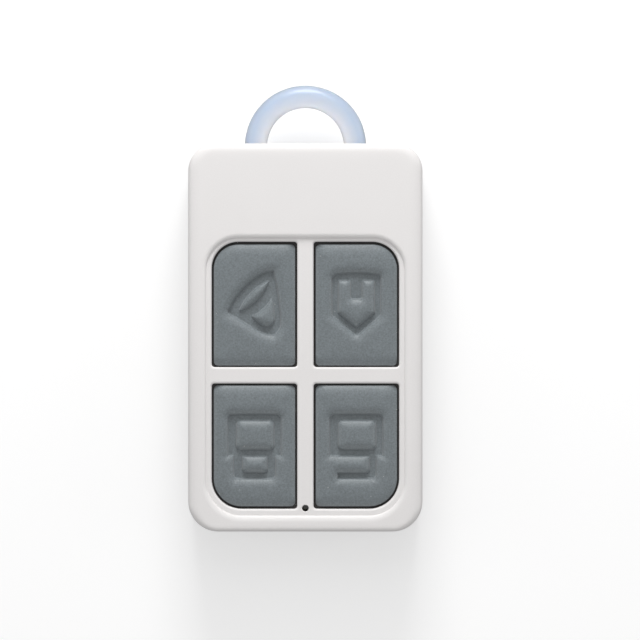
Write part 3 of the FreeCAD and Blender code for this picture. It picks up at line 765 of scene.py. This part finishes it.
# Each sign is a list of strokes, and a stroke is a shape less the islands that stand in it, all in
# millimetres from the middle of the key's window. The signs are upright when the loop points down.
bell_sign = [(
    Bowed([
        (2.9, 5.06, 0.17), (0.6, 4.42, 0.56), (-4.02, -0.95, 0.1), (-3.82, -1.5, 0),
        (0.6, -4.08, 0.12), (2.85, -4.75, 0.12), (3.92, -3.5, 0.03), (4.02, -2.45, 0.2),
    ]),
    [
        Bowed([(2.0, 3.35, 0.6), (-2.15, -0.85, 0.62)]),
        Bowed([
            (2.55, 0.7, -0.3), (-0.2, -1.8, 0.04), (1.2, -3.05, 0.1), (2.3, -3.15, 0.14),
            (2.85, -2.2, 0.08),
        ]),
    ],
)]
padlock_body = (
    block(-4.07, 4.07, -1.56, 4.88, above=(0.9, 0.9)),
    [block(-2.62, 2.8, -0.4, 3.7, below=(0.55, 0.55), above=(0.55, 0.55))],
)
closed_shackle = (
    block(-3.22, 3.22, -4.98, -1.0, below=(0.75, 0.75)),
    [block(-1.7, 1.85, -3.85, -1.62, below=(0.45, 0.45))],
)
open_shackle = (
    block(-2.88, 3.06, -4.96, -1.0, below=(SMALLEST_RADIUS, 0.75)),
    [block(-3.9, 1.87, -3.92, -1.56, below=(SMALLEST_RADIUS, 0.45))],
)
house_walls = (
    Bowed([
        (3.1, 4.6, 0.25), (-3.1, 4.6, 0), (-3.75, 4.0, 0.02), (-3.75, -1.35, 0.1), (-3.4, -1.95, 0),
        (-0.35, -4.5, 0.1), (0.35, -4.5, 0), (3.4, -1.95, 0.1), (3.75, -1.35, 0), (3.75, 4.0, 0.2),
    ]),
    [Bowed([(2.6, 3.45, 0), (-2.6, 3.45, 0), (-2.6, -1.2, 0), (0, -3.35, 0), (2.6, -1.2, 0)])],
)
house_door = (block(-0.95, 0.95, 0.7, 3.8, below=(0.4, 0.4)), [])
KEY_SIGNS = {
    "bell": bell_sign, "home": [house_walls, house_door],
    "lock": [padlock_body, closed_shackle], "unlock": [padlock_body, open_shackle],
}


def sign_distance(sign, x, y):
    """How far a point lies outside the strokes of a sign, negative inside them."""
    distance = GROOVE_LIP_REACH
    for shape, islands in sign:
        stroke = shape.distance(x, y)
        for island in islands:
            stroke = max(stroke, -island.distance(x, y))
        blend = max(GROOVE_BLEND - abs(distance - stroke), 0) / GROOVE_BLEND
        distance = min(distance, stroke) - blend * blend * GROOVE_BLEND / 4
    return distance


def softened(field, reach):
    """A grid of heights blurred both ways over some cells."""
    kernel = numpy.full(2 * reach + 1, 1 / (2 * reach + 1))
    for axis in (0, 1):
        field = numpy.apply_along_axis(numpy.convolve, axis, field, kernel, "same")
    return field


def groove_heights(distances):
    """The skin's height by its distance from a sign: a rolled lip, a steep wall and a flat floor."""
    lips = -GROOVE_LIP * numpy.maximum(1 - distances / GROOVE_LIP_REACH, 0) ** 3
    for _ in range(LIP_BLUR_PASSES):
        lips = softened(lips, LIP_BLUR_CELLS)
    share = numpy.clip(-distances / GROOVE_WALL, 0, 1)
    share = share * share * (3 - 2 * share)
    return lips * (1 - share) - GROOVE_DEPTH * share


def object_axis(tree, axis):
    """The place on the piece along one axis in metres; its value socket."""
    parts = tree.nodes.new("ShaderNodeSeparateXYZ")
    tree.links.new(place_in_object(tree), parts.inputs[0])
    return parts.outputs[axis]


def make_painted_gap_shade():
    """Painted shade: the colour goes dark below a height, where shade falls in the deep gap round a key."""
    tree, given, result = shader_group(
        "painted_gap_shade",
        {"Colour": GREY, "Painted Shade Colour": (0.02, 0.02, 0.02, 1), "Painted Shade Top": 0.009, "Painted Shade Fade": 0.001},
        COLOUR_OUTPUT,
    )
    depth = math_node(tree, "SUBTRACT", given["Painted Shade Top"], object_axis(tree, "Z"))
    share = share_of(tree, depth, given["Painted Shade Fade"])
    colour = mixed_colour(tree, share, given["Colour"], given["Painted Shade Colour"])
    tree.links.new(colour, result["Colour"])
    return tree


def make_dust_specks():
    """Sparse pale specks of dust."""
    tree, given, result = shader_group(
        "dust_specks",
        {"Colour": GREY, "Dust Colour": (0.6, 0.6, 0.58, 1), "Spacing": 0.001, "Speck Size": 0.00005},
        COLOUR_OUTPUT,
    )
    cells = tree.nodes.new("ShaderNodeTexVoronoi")
    cells.inputs["Scale"].default_value = 1
    tree.links.new(place_in_grains(tree, [given["Spacing"]] * 3), cells.inputs["Vector"])
    distance = math_node(tree, "MULTIPLY", cells.outputs["Distance"], given["Spacing"])
    specks = math_node(tree, "LESS_THAN", distance, given["Speck Size"])
    share = math_node(tree, "MULTIPLY", specks, DUST_COVER)
    colour = mixed_colour(tree, share, given["Colour"], given["Dust Colour"])
    tree.links.new(colour, result["Colour"])
    return tree


def covered_by(material, group, values):
    """Lays a group's effect over the colour that a material has so far."""
    tree = material.node_tree
    cover = group_node(tree, group, values)
    base = tree.nodes["Principled BSDF"].inputs["Base Color"]
    tree.links.new(base.links[0].from_socket, cover.inputs["Colour"])
    tree.links.new(cover.outputs["Colour"], base)


grey_silicone = moulded_finish(
    "matte_grey_silicone", (0.161, 0.185, 0.197, 1), grain=(0.00024, 0.9), patch=(0.003, 0.1),
    roughness=(0.42, 0.1), bump=0.000016,
    shader_values={"IOR": 1.43, "Specular IOR Level": 1.0, "Sheen Weight": 0.6, "Sheen Roughness": 0.4},
)
# Painted shade: each key's sides turn almost black below the gap's depth, where the gap round the key lies
# in shade.
covered_by(grey_silicone, make_painted_gap_shade(), {
    "Painted Shade Colour": (0.016, 0.012, 0.011, 1), "Painted Shade Fade": PAINTED_SHADE_FADE * mm,
    "Painted Shade Top": (node_box("key_bell")[1].z - PAINTED_SHADE_DEPTH) * mm,
})
covered_by(grey_silicone, make_dust_specks(), {"Spacing": 0.0016, "Speck Size": 0.00006})


def mould_key_top(skin, rows, columns, outline, window, top_z, sign):
    """Lays a square grid into a key's outline, lets it fall towards its edges and sinks the sign."""
    pillow = outline.grown(0)
    pillow.radii = [max(radius, PILLOW_CORNER) for radius in outline.radii]
    distances = numpy.full((rows + 1, columns + 1), GROOVE_LIP_REACH)
    cells = [
        (round((vertex.co.y + 1) / 2 * rows), round((vertex.co.x + 1) / 2 * columns)) for vertex in skin
    ]
    for cell, vertex in zip(cells, skin):
        x, y = outline.place(vertex.co.x, vertex.co.y)
        if max(abs(x - window.middle_x), abs(y - window.middle_y)) < SIGN_REACH:
            distances[cell] = sign_distance(sign, x - window.middle_x, y - window.middle_y)
        vertex.co = (x, y, top_z - PILLOW_DROP * math.exp(pillow.distance(x, y) / PILLOW_FADE))
    grooves = groove_heights(distances)
    for cell, vertex in zip(cells, skin):
        vertex.co.z += grooves[cell]


def make_key(name):
    """One key: a fine grid laid into its outline, drawn down to the flange and closed below."""
    window = window_outline(name)
    low, high = node_box("key_" + name)
    outline = window.grown(-KEY_SIDE_GAP, *KEY_ROW_GROWTH[KEY_SIDES[name][1]])
    outline.radii = [max(radius, KEY_SMALL_CORNER) for radius in outline.radii]
    flange = window.grown(FLANGE_OVERLAP)
    flange_z = low.z + KEY_NUB_HEIGHT
    flange_top_z = flange_z + FLANGE_THICKNESS
    pocket = outline.grown(-KEY_WALL)
    columns = round((outline.right - outline.left) / KEY_SPACING)
    rows = round((outline.top - outline.bottom) / KEY_SPACING)
    bm = bmesh.new()
    bmesh.ops.create_grid(bm, x_segments=columns, y_segments=rows, size=1)
    skin = list(bm.verts)
    edge = [item for item in bm.edges if item.is_boundary]
    levels = []
    for shape, z in (
        (outline, flange_top_z), (flange, flange_top_z), (flange, flange_z),
        (pocket, flange_z), (pocket, flange_z + KEY_POCKET),
    ):
        edge, verts = drawn_out(bm, edge)
        levels.append((shape, z, verts))
    bmesh.ops.contextual_create(bm, geom=edge)
    for shape, z, verts in levels:
        for vertex in verts:
            vertex.co = (*shape.place(vertex.co.x, vertex.co.y), z)
    mould_key_top(skin, rows, columns, outline, window, high.z, KEY_SIGNS[name])
    add_post(bm, window.middle_x, window.middle_y, KEY_NUB, low.z, flange_z + KEY_POCKET)
    finished_piece(
        "silicone_key_" + name, bm, grey_silicone, "button_" + name, "key_" + name,
    )


for key_name in KEY_SIDES:
    make_key(key_name)


# Front cover
# The front half of the case, in the same white ABS. Its face has a shallow recessed panel whose wall
# rolls over softly, four key windows with rounded rims, and a pinhole for the indicator light.
FRONT_ROUND_ACROSS = 2.0
FRONT_ROUND_ACROSS_BOTTOM = 1.0
FRONT_ROUND_ACROSS_TOP = 2.2
FRONT_ROUND_DOWN = 1.1
FRONT_ROUND_STEPS = 12
PANEL_DEPTH = 0.5
SIDE_LEDGE = 0.8
TOP_LEDGE = 0.55
BOTTOM_LEDGE = 1.0
SIDE_FLARE = 0.65
TOP_FLARE = 0.75
BOTTOM_FLARE = 1.0
FRONT_WALL = 1.2
RIM_ROUND = 0.32
RIM_STEPS = 5
LIGHT_HOLE = 1.0
LIGHT_HOLE_BEVEL = 0.12
PILOT_GAP = 0.02
BOSS_WALL = 1.4
HOLD_DOWN = 1.8
HOLD_DOWN_X = 3.0
HOOK_THICKNESS = 1.0
HOOK_WALL_GAP = 0.05
HOOK_ROOT_DROP = 1.23
front_z = node_box("front_cover")[1].z
panel_z = front_z - PANEL_DEPTH
ceiling_z = panel_z - FRONT_WALL
windows = {name: window_outline(name) for name in KEY_SIDES}
panel = Outline(
    windows["bell"].left - SIDE_LEDGE, windows["home"].right + SIDE_LEDGE,
    windows["lock"].bottom - BOTTOM_LEDGE, windows["bell"].top + TOP_LEDGE,
    [WINDOW_BOTTOM_CORNER + SIDE_LEDGE] * 2 + [WINDOW_TOP_CORNER + SIDE_LEDGE] * 2,
)


def front_edge(inset):
    """The housing's outline part of the way across its rounded edge, fuller at its two ends."""
    crowned = 1 - math.sqrt(1 - inset)
    return housing.grown(
        -FRONT_ROUND_ACROSS * inset,
        bottom=-FRONT_ROUND_ACROSS_BOTTOM * crowned,
        top=-FRONT_ROUND_ACROSS_TOP * crowned,
    )


def draw_front_wall(bm):
    """From the ceiling round the tongue and the seam, up the wall and over the rounded edge."""
    edge_z = front_z - FRONT_ROUND_DOWN
    tongue_z = parting_z - TONGUE_HEIGHT
    tongue = cavity.grown(TONGUE)
    front_round = [
        (front_edge(inset), edge_z + FRONT_ROUND_DOWN * rise)
        for inset, rise in quarter_round(FRONT_ROUND_STEPS)
    ]
    return drawn_ring(bm, [
        (cavity, ceiling_z), (cavity, tongue_z), (tongue, tongue_z), (tongue, parting_z),
        (housing.grown(-SEAM_BEVEL), parting_z), (housing, parting_z + SEAM_BEVEL),
        (housing, parting_z + SEAM_BEVEL + FLAT_MARGIN), (housing, edge_z - FLAT_MARGIN),
        *front_round,
        (front_edge(1).grown(-FLAT_MARGIN), front_z),
    ])


def draw_recess(bm):
    """The wall of the recess, rolling over from the face down to the panel."""
    roll = []
    for inset, rise in reversed(quarter_round(FRONT_ROUND_STEPS)):
        outline = panel.grown(SIDE_FLARE * inset, BOTTOM_FLARE * inset, TOP_FLARE * inset)
        roll.append((outline, panel_z + PANEL_DEPTH * rise))
    outer = panel.grown(SIDE_FLARE + FLAT_MARGIN, BOTTOM_FLARE + FLAT_MARGIN, TOP_FLARE + FLAT_MARGIN)
    return drawn_ring(bm, [(outer, front_z), *roll, (panel.grown(-FLAT_MARGIN), panel_z)])


def draw_window(bm, window):
    """The wall of a key window, from its rounded rim in the panel to the ceiling."""
    rim = [
        (window.grown(RIM_ROUND * inset), panel_z - RIM_ROUND * (1 - rise))
        for inset, rise in reversed(quarter_round(RIM_STEPS))
    ]
    return drawn_ring(
        bm, [(window.grown(RIM_ROUND + FLAT_MARGIN), panel_z), *rim, (window, ceiling_z)],
    )


def draw_light_hole(bm):
    """The pinhole over the indicator light, with a bevelled mouth."""
    light_low, light_high = node_box("indicator_led")
    radius = LIGHT_HOLE / 2
    return drawn_bore(bm, 0, (light_low.y + light_high.y) / 2, [
        *bevelled_mouth(radius, LIGHT_HOLE_BEVEL, panel_z, -1), (radius, ceiling_z),
    ])


def swept(bm, faces, way):
    """Sweeps faces along a straight way into a solid."""
    made = bmesh.ops.extrude_face_region(bm, geom=faces)["geom"]
    bmesh.ops.translate(bm, vec=way, verts=parts_of(made, bmesh.types.BMVert))


def add_hook(bm, x):
    """A springy hook behind the bottom wall, with a barb that points outwards."""
    inner_y = half_length - WALL
    back_y = -inner_y - EMBED
    face_y = HOOK_WALL_GAP - inner_y
    root_z = ceiling_z - HOOK_ROOT_DROP
    tip_z = parting_z - HOOK_REACH
    barb_top_z = tip_z + HOOK_BARB_HEIGHT
    profile = [
        (back_y, root_z), (back_y, parting_z + EMBED), (face_y, parting_z - TONGUE_HEIGHT),
        (face_y, barb_top_z), (face_y - HOOK_BARB, barb_top_z), (face_y, tip_z),
        (face_y + HOOK_THICKNESS, tip_z), (face_y + HOOK_THICKNESS, root_z),
    ]
    side = bm.faces.new([bm.verts.new((x - HOOK_WIDTH / 2, y, z)) for y, z in profile])
    swept(bm, [side], (HOOK_WIDTH, 0, 0))


def add_front_inside(bm):
    """Screw bosses, posts that hold the board down, ribs and snap hooks under the ceiling."""
    root_z = ceiling_z + EMBED
    add_shared_ribs(bm, parting_z, root_z, root_z)
    pilot = SCREW_SHANK / 2 + PILOT_GAP
    boss = pilot + BOSS_WALL
    for x in (-screw_x, screw_x):
        foot, rim = drawn_bore(bm, x, screw_y, [
            (pilot, root_z), (pilot, parting_z), (boss, parting_z), (boss, root_z),
        ])
        flat_face(bm, foot + rim)
    for x in (-HOLD_DOWN_X, HOLD_DOWN_X):
        add_post(bm, x, top_post_y, HOLD_DOWN, board_high.z, root_z)
    for x in (-HOOK_X, HOOK_X):
        add_hook(bm, x)


def make_front_cover():
    """The closed shell: wall and face, recess and panel, the windows, the pinhole and the ceiling."""
    bm = bmesh.new()
    ceiling, face = draw_front_wall(bm)
    recess_top, panel_face = draw_recess(bm)
    flat_face(bm, face + recess_top)
    for window in windows.values():
        mouth, back = draw_window(bm, window)
        panel_face += mouth
        ceiling += back
    mouth, back = draw_light_hole(bm)
    flat_face(bm, panel_face + mouth)
    flat_face(bm, ceiling + back)
    add_front_inside(bm)
    return finished_piece("moulded_front_cover", bm, white_abs, "housing", "front_cover")


cut_away(make_front_cover(), make_leg_bores())


# Keypad web
# The thin sheet of grey silicone that lies round the keys, trapped between the front cover and the
# circuit board.
def dress(material, *names):
    """Gives some pieces of the frame their material."""
    for name in names:
        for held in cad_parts[name].material_slots:
            held.material = material


web_silicone = moulded_finish(
    "thin_grey_silicone", (0.163, 0.188, 0.2, 1), grain=(0.0003, 0.5), patch=(0.004, 0.15),
    roughness=(0.5, 0.1), bump=0.00001,
    shader_values={"IOR": 1.43, "Sheen Weight": 0.2, "Sheen Roughness": 0.4},
)
dress(web_silicone, "keypad_web")


# Circuit board
# Glass-fibre laminate under green solder mask, which lies on the back cover's posts. The copper
# tracks and the filled areas show through the mask as paler shapes.
FILLED_ABOVE = 0.56
BARE_BOARD = (0.02, 0.12, 0.05, 1)


def make_board_artwork():
    """Tracks of one width and filled areas of copper, seen through the solder mask."""
    tree, given, result = shader_group(
        "board_artwork",
        {
            "Bare Colour": BARE_BOARD, "Copper Colour": (0.05, 0.26, 0.11, 1),
            "Pitch": 0.001, "Area Size": 0.01,
        },
        COLOUR_OUTPUT,
    )
    tracks = tree.nodes.new("ShaderNodeTexBrick")
    set_inputs(tracks, {
        "Scale": 1, "Mortar Size": 0.16, "Mortar Smooth": 0.1, "Brick Width": 13.0, "Row Height": 1.0,
    })
    tracks.offset = 0.37
    tree.links.new(place_in_grains(tree, [given["Pitch"]] * 3), tracks.inputs["Vector"])
    areas = noise_on_object(tree, [given["Area Size"]] * 3, detail=0)
    filled = math_node(tree, "GREATER_THAN", areas, FILLED_ABOVE)
    copper = math_node(tree, "MAXIMUM", tracks.outputs[1], filled)
    colour = mixed_colour(tree, copper, given["Bare Colour"], given["Copper Colour"])
    tree.links.new(colour, result["Colour"])
    return tree


solder_mask = {"IOR": 1.5, "Coat Weight": 0.4, "Coat Roughness": 0.15}
green_laminate = moulded_finish(
    "green_solder_mask", BARE_BOARD, grain=(0.0002, 0.1), patch=(0.004, 0.1), roughness=(0.32, 0.08),
    bump=0.000002, shader_values=solder_mask,
)
tinted_by(green_laminate, make_board_artwork(), {"Pitch": 0.0011, "Area Size": 0.009})
dress(green_laminate, "circuit_board")


# Antenna track
# A printed loop of copper on the circuit board, under the same solder mask and paler than the bare
# board.
masked_copper = moulded_finish(
    "masked_copper", (0.06, 0.28, 0.12, 1), grain=(0.0003, 0.08), patch=(0.003, 0.12),
    roughness=(0.3, 0.06), bump=0.000002, shader_values=solder_mask,
)
dress(masked_copper, "antenna_track")


# Tactile switches
# Each has a black nylon base and plunger, a nickel-plated steel cover, an arched snap spring that the
# plunger flattens, and four tinned terminals soldered to the board.
SNAP_SHEET = 0.08
SNAP_SPANS = 24


def make_rolled_metal():
    """Sheet metal's fine streaks along the way it was rolled, with slow patches of tarnish."""
    tree, given, result = shader_group(
        "rolled_metal",
        {
            "Colour": GREY, "Streak Size": 0.00005, "Streak Length": 0.002, "Streak Tone": 0.1,
            "Tarnish Size": 0.003, "Tarnish Tone": 0.15, "Roughness": 0.3, "Roughness Spread": 0.2,
        },
        SURFACE_OUTPUTS,
    )
    across = given["Streak Size"]
    streak = noise_on_object(tree, [given["Streak Length"], across, across], detail=2)
    tarnish = noise_on_object(tree, [given["Tarnish Size"]] * 3, detail=3)
    varied_surface(tree, given, result, streak, "Streak Tone", tarnish, "Tarnish Tone")
    return tree


rolled_metal = make_rolled_metal()


def metal(name, surface_values):
    """A plated metal with streaks and tarnish."""
    return grained_material(
        name, rolled_metal, surface_values, bump=0.000001, shader_values={"Metallic": 1},
    )


black_nylon = moulded_finish(
    "moulded_black_nylon", (0.02, 0.02, 0.022, 1), grain=(0.0001, 0.3), patch=(0.002, 0.2),
    roughness=(0.45, 0.1), bump=0.000003, shader_values={"IOR": 1.53},
)
nickel_sheet = metal("nickel_plated_sheet", {
    "Colour": (0.68, 0.66, 0.62, 1), "Streak Tone": 0.12, "Tarnish Tone": 0.15, "Roughness": 0.28,
})
TIN = (0.74, 0.74, 0.72, 1)
tin_plate = metal("solder_coated_tin", {
    "Colour": TIN, "Streak Size": 0.0002, "Streak Length": 0.0004, "Tarnish Tone": 0.25, "Roughness": 0.35,
})


def make_snap_spring(name):
    """A thin arched strip on the floor of the switch's well."""
    low, high = node_box("switch_spring_" + name)
    middle = (low + high) / 2
    half = (high - low) / 2
    rise = high.z - low.z - SNAP_SHEET
    bm = bmesh.new()
    strip = bmesh.ops.create_grid(bm, x_segments=SNAP_SPANS, y_segments=2, size=1)
    for vertex in strip["verts"]:
        along, across = vertex.co.x, vertex.co.y
        vertex.co = (middle.x + along * half.x, middle.y + across * half.y, low.z + rise * (1 - along ** 2))
    swept(bm, bm.faces[:], (0, 0, SNAP_SHEET))
    spring = finished_piece(
        "snap_spring_" + name, bm, nickel_sheet, "housing", "switch_spring_" + name,
    )
    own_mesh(spring)


for key_name in KEY_SIDES:
    dress(black_nylon, "switch_base_" + key_name, "switch_plunger_" + key_name)
    dress(nickel_sheet, "switch_cover_" + key_name)
    dress(tin_plate, "switch_terminals_" + key_name)
    make_snap_spring(key_name)


# Coin cell and contacts
# A nickel-plated steel cell with its cap towards the board, a bent nickel clip under it and a tinned
# pad on the board.
cell_steel = metal("nickel_plated_cell_steel", {
    "Colour": (0.7, 0.69, 0.67, 1), "Streak Length": 0.004, "Streak Tone": 0.08, "Tarnish Size": 0.006,
    "Roughness": 0.24,
})
dress(cell_steel, "cell_can", "cell_cap")
dress(nickel_sheet, "battery_clip")
dress(tin_plate, "battery_contact_pad")


# Chips and indicator light
# Moulded black epoxy packages on tinned leads, a ceramic resonator, resistors and capacitors whose
# two ends are tinned, and a light in clear epoxy behind the pinhole.
TINNED_END = 0.3


def package_finish(name, colour, roughness, coat=0.0):
    """A fired or moulded package with a fine grain, and a clear coat where it has one."""
    return moulded_finish(
        name, colour, grain=(0.00008, 0.35), patch=(0.001, 0.1), roughness=(roughness, 0.08),
        bump=0.000002, shader_values={"IOR": 1.55, "Coat Weight": coat, "Coat Roughness": 0.05},
    )


def make_tinned_ends():
    """A mask that is one near both ends of a part that lies along Y."""
    tree, given, result = shader_group(
        "tinned_ends", {"Middle": 0.0, "Body Half Length": 0.0005}, {"Mask": 0.0},
    )
    away = math_node(tree, "SUBTRACT", object_axis(tree, "Y"), given["Middle"])
    away = math_node(tree, "MAXIMUM", away, math_node(tree, "MULTIPLY", away, -1))
    mask = math_node(tree, "GREATER_THAN", away, given["Body Half Length"])
    tree.links.new(mask, result["Mask"])
    return tree


tinned_ends = make_tinned_ends()


def tip_with_tin(material, part_name):
    """Makes both ends of each small part of a node metal."""
    low, high = node_box(part_name)
    tree = material.node_tree
    ends = group_node(tree, tinned_ends, {
        "Middle": (low.y + high.y) / 2 * mm,
        "Body Half Length": ((high.y - low.y) / 2 - TINNED_END) * mm,
    })
    tin = tree.nodes.new("ShaderNodeRGB")
    tin.outputs[0].default_value = TIN
    shader = tree.nodes["Principled BSDF"]
    base = shader.inputs["Base Color"]
    body = base.links[0].from_socket
    tree.links.new(mixed_colour(tree, ends.outputs["Mask"], body, tin.outputs[0]), base)
    tree.links.new(ends.outputs["Mask"], shader.inputs["Metallic"])


black_epoxy = package_finish("moulded_black_epoxy", (0.025, 0.025, 0.027, 1), 0.5)
resistor_finish = package_finish("resistor_with_tinned_ends", (0.02, 0.02, 0.022, 1), 0.35)
capacitor_finish = package_finish("capacitor_with_tinned_ends", (0.45, 0.33, 0.2, 1), 0.4)
fired_ceramic = package_finish("fired_ceramic", (0.55, 0.52, 0.47, 1), 0.45)
led_lens = package_finish("clear_epoxy_over_pale_case", (0.75, 0.72, 0.62, 1), 0.15, coat=1.0)
tip_with_tin(resistor_finish, "chip_resistors")
tip_with_tin(capacitor_finish, "chip_capacitors")
dress(black_epoxy, "encoder_chip", "radio_transistor")
dress(tin_plate, "encoder_leads", "transistor_leads")
dress(fired_ceramic, "radio_resonator")
dress(resistor_finish, "chip_resistors")
dress(capacitor_finish, "chip_capacitors")
dress(led_lens, "indicator_led")


# Case screws
# Two zinc-plated screws with a rounded pan head, a cross recess and a thread, driven in from the back
# through the pillars into the front cover's bosses.
HEAD_ROUND = 0.5
THREAD_PITCH = 0.7
THREAD_DEPTH = 0.2
RECESS_SPAN = 2.2
RECESS_WIDTH = 0.5
RECESS_DEPTH = 0.65
zinc = metal("bright_zinc_plate", {
    "Colour": (0.62, 0.63, 0.62, 1), "Streak Tone": 0.15, "Tarnish Tone": 0.2, "Roughness": 0.3,
})


def make_screws():
    """Both screws, each a turned profile with a cross cut into its head."""
    head_z = screws_low.z + SCREW_HEAD_HEIGHT
    head = SCREW_HEAD / 2
    shank = SCREW_SHANK / 2
    profile = [
        (head - HEAD_ROUND * (1 - rise), screws_low.z + HEAD_ROUND * inset)
        for inset, rise in quarter_round(ROUND_STEPS)
    ] + [(head, head_z), (shank, head_z)]
    threads = int((screws_high.z - head_z) / THREAD_PITCH) - 1
    for turn in range(threads):
        z = head_z + THREAD_PITCH * (turn + 0.5)
        profile += [(shank - THREAD_DEPTH, z), (shank, z + THREAD_PITCH / 2)]
    profile += [(shank / 2, screws_high.z)]
    bm = bmesh.new()
    cutters = bmesh.new()
    for x in (-screw_x, screw_x):
        for ring in drawn_bore(bm, x, screw_y, profile):
            bmesh.ops.contextual_create(bm, geom=ring)
        for span, width in ((RECESS_SPAN, RECESS_WIDTH), (RECESS_WIDTH, RECESS_SPAN)):
            add_block(
                cutters, (x - span / 2, screw_y - width / 2, screws_low.z - EMBED),
                (x + span / 2, screw_y + width / 2, screws_low.z + RECESS_DEPTH),
            )
    screws = finished_piece("cross_head_screws", bm, zinc, "housing", "case_screws")
    cut_away(screws, cutters)


make_screws()


# Table, lamps and camera
# The remote lies on a white table under a softbox and a lamp low beyond its top edge, with three weak
# lamps low round the other sides. It is seen from straight above.
TABLE_RADIUS = 3000
TABLE_STEPS = 64
TABLE_GREY = 0.3
TABLE_GREY_SEEN_MORE = 0.32
TABLE_GLOW_SEEN = 0.42
TABLE_GLOW_MIRRORED = 0.16
TABLE_GLOW_SEEN_THROUGH = 0.75
WORLD_STRENGTH = 0.47
TOP_EDGE_PLACE = (0, 0.28, 0.13)
TOP_EDGE_SIZE = 0.13
LOW_EDGE_AWAY = 0.3
LOW_EDGE_HEIGHT = 0.13
PHOTO_PIXELS = 640
MM_PER_PIXEL = 0.1508
BODY_MIDDLE_PIXEL = (305.5, 337.3)
CAMERA_DISTANCE = 0.5
SENSOR = 36.0
WHITE = (1, 1, 1, 1)
scene = bpy.context.scene
scene.view_settings.view_transform = "Standard"


def make_white_table():
    """A white top that glows a little for the camera and in mirrors, so its far parts are pure white."""
    material = bpy.data.materials.new("white_table")
    material.use_nodes = True
    tree = material.node_tree
    shader = tree.nodes["Principled BSDF"]
    set_inputs(shader, {"Roughness": 0.9, "Specular IOR Level": 0, "Emission Color": WHITE})
    ray = tree.nodes.new("ShaderNodeLightPath").outputs
    seen = math_node(tree, "MULTIPLY", ray["Is Camera Ray"], TABLE_GLOW_SEEN)
    mirrored = math_node(tree, "MULTIPLY", ray["Is Glossy Ray"], TABLE_GLOW_MIRRORED)
    through = math_node(tree, "MULTIPLY", ray["Is Transmission Ray"], TABLE_GLOW_SEEN_THROUGH)
    glow = math_node(tree, "MAXIMUM", math_node(tree, "MAXIMUM", seen, mirrored), through)
    paler = math_node(tree, "MULTIPLY", ray["Is Camera Ray"], TABLE_GREY_SEEN_MORE)
    tree.links.new(glow, shader.inputs["Emission Strength"])
    tree.links.new(math_node(tree, "ADD", paler, TABLE_GREY), shader.inputs["Base Color"])
    return material


def make_table():
    """A wide round table top that still shows the soft shadow of the remote."""
    bm = bmesh.new()
    bmesh.ops.create_circle(bm, cap_ends=True, segments=TABLE_STEPS, radius=TABLE_RADIUS)
    table = object_in_metres("table_top", bm)
    table.data.materials.append(make_white_table())


def make_room():
    """Soft white light from all sides, and a white room behind the remote."""
    room = bpy.data.worlds.new("soft_room")
    scene.world = room
    room.use_nodes = True
    tree = room.node_tree
    ray = tree.nodes.new("ShaderNodeLightPath").outputs
    seen = math_node(tree, "ADD", ray["Is Camera Ray"], ray["Is Transmission Ray"])
    brighter = math_node(tree, "MULTIPLY", seen, 1 - WORLD_STRENGTH)
    background = tree.nodes["Background"]
    tree.links.new(math_node(tree, "ADD", brighter, WORLD_STRENGTH), background.inputs["Strength"])
    set_inputs(background, {"Color": WHITE})


def add_lamp(name, place, size, watts):
    """A square soft lamp that faces the remote."""
    data = bpy.data.lights.new(name, "AREA")
    data.shape = "SQUARE"
    data.size = size
    data.energy = watts
    lamp = bpy.data.objects.new(name, data)
    lamp.location = place
    lamp.rotation_euler = (-Vector(place)).to_track_quat("-Z", "Y").to_euler()
    scene.collection.objects.link(lamp)
    return lamp


make_table()
make_room()
add_lamp("softbox", (0, 0.7, 0.7), size=0.8, watts=1.8)
add_lamp("top_edge_lamp", TOP_EDGE_PLACE, TOP_EDGE_SIZE, watts=0.25)
# Most of the light from beyond the top edge makes no glare on the face.
add_lamp("top_edge_fill_lamp", TOP_EDGE_PLACE, TOP_EDGE_SIZE, watts=0.5).visible_glossy = False
for x, y, watts in ((-LOW_EDGE_AWAY, 0, 0.08), (LOW_EDGE_AWAY, 0, 0.08), (0, -LOW_EDGE_AWAY, 0.07)):
    add_lamp("low_edge_lamp", (x, y, LOW_EDGE_HEIGHT), size=0.15, watts=watts)

camera_data = bpy.data.cameras.new("photo_camera")
camera_data.sensor_width = SENSOR
camera_data.lens = SENSOR * CAMERA_DISTANCE / (PHOTO_PIXELS * MM_PER_PIXEL * mm)
camera = bpy.data.objects.new("photo_camera", camera_data)
camera.location = (
    (PHOTO_PIXELS / 2 - BODY_MIDDLE_PIXEL[0]) * MM_PER_PIXEL * mm,
    (BODY_MIDDLE_PIXEL[1] - PHOTO_PIXELS / 2) * MM_PER_PIXEL * mm,
    parting_z * mm + CAMERA_DISTANCE,
)
scene.collection.objects.link(camera)
scene.camera = camera
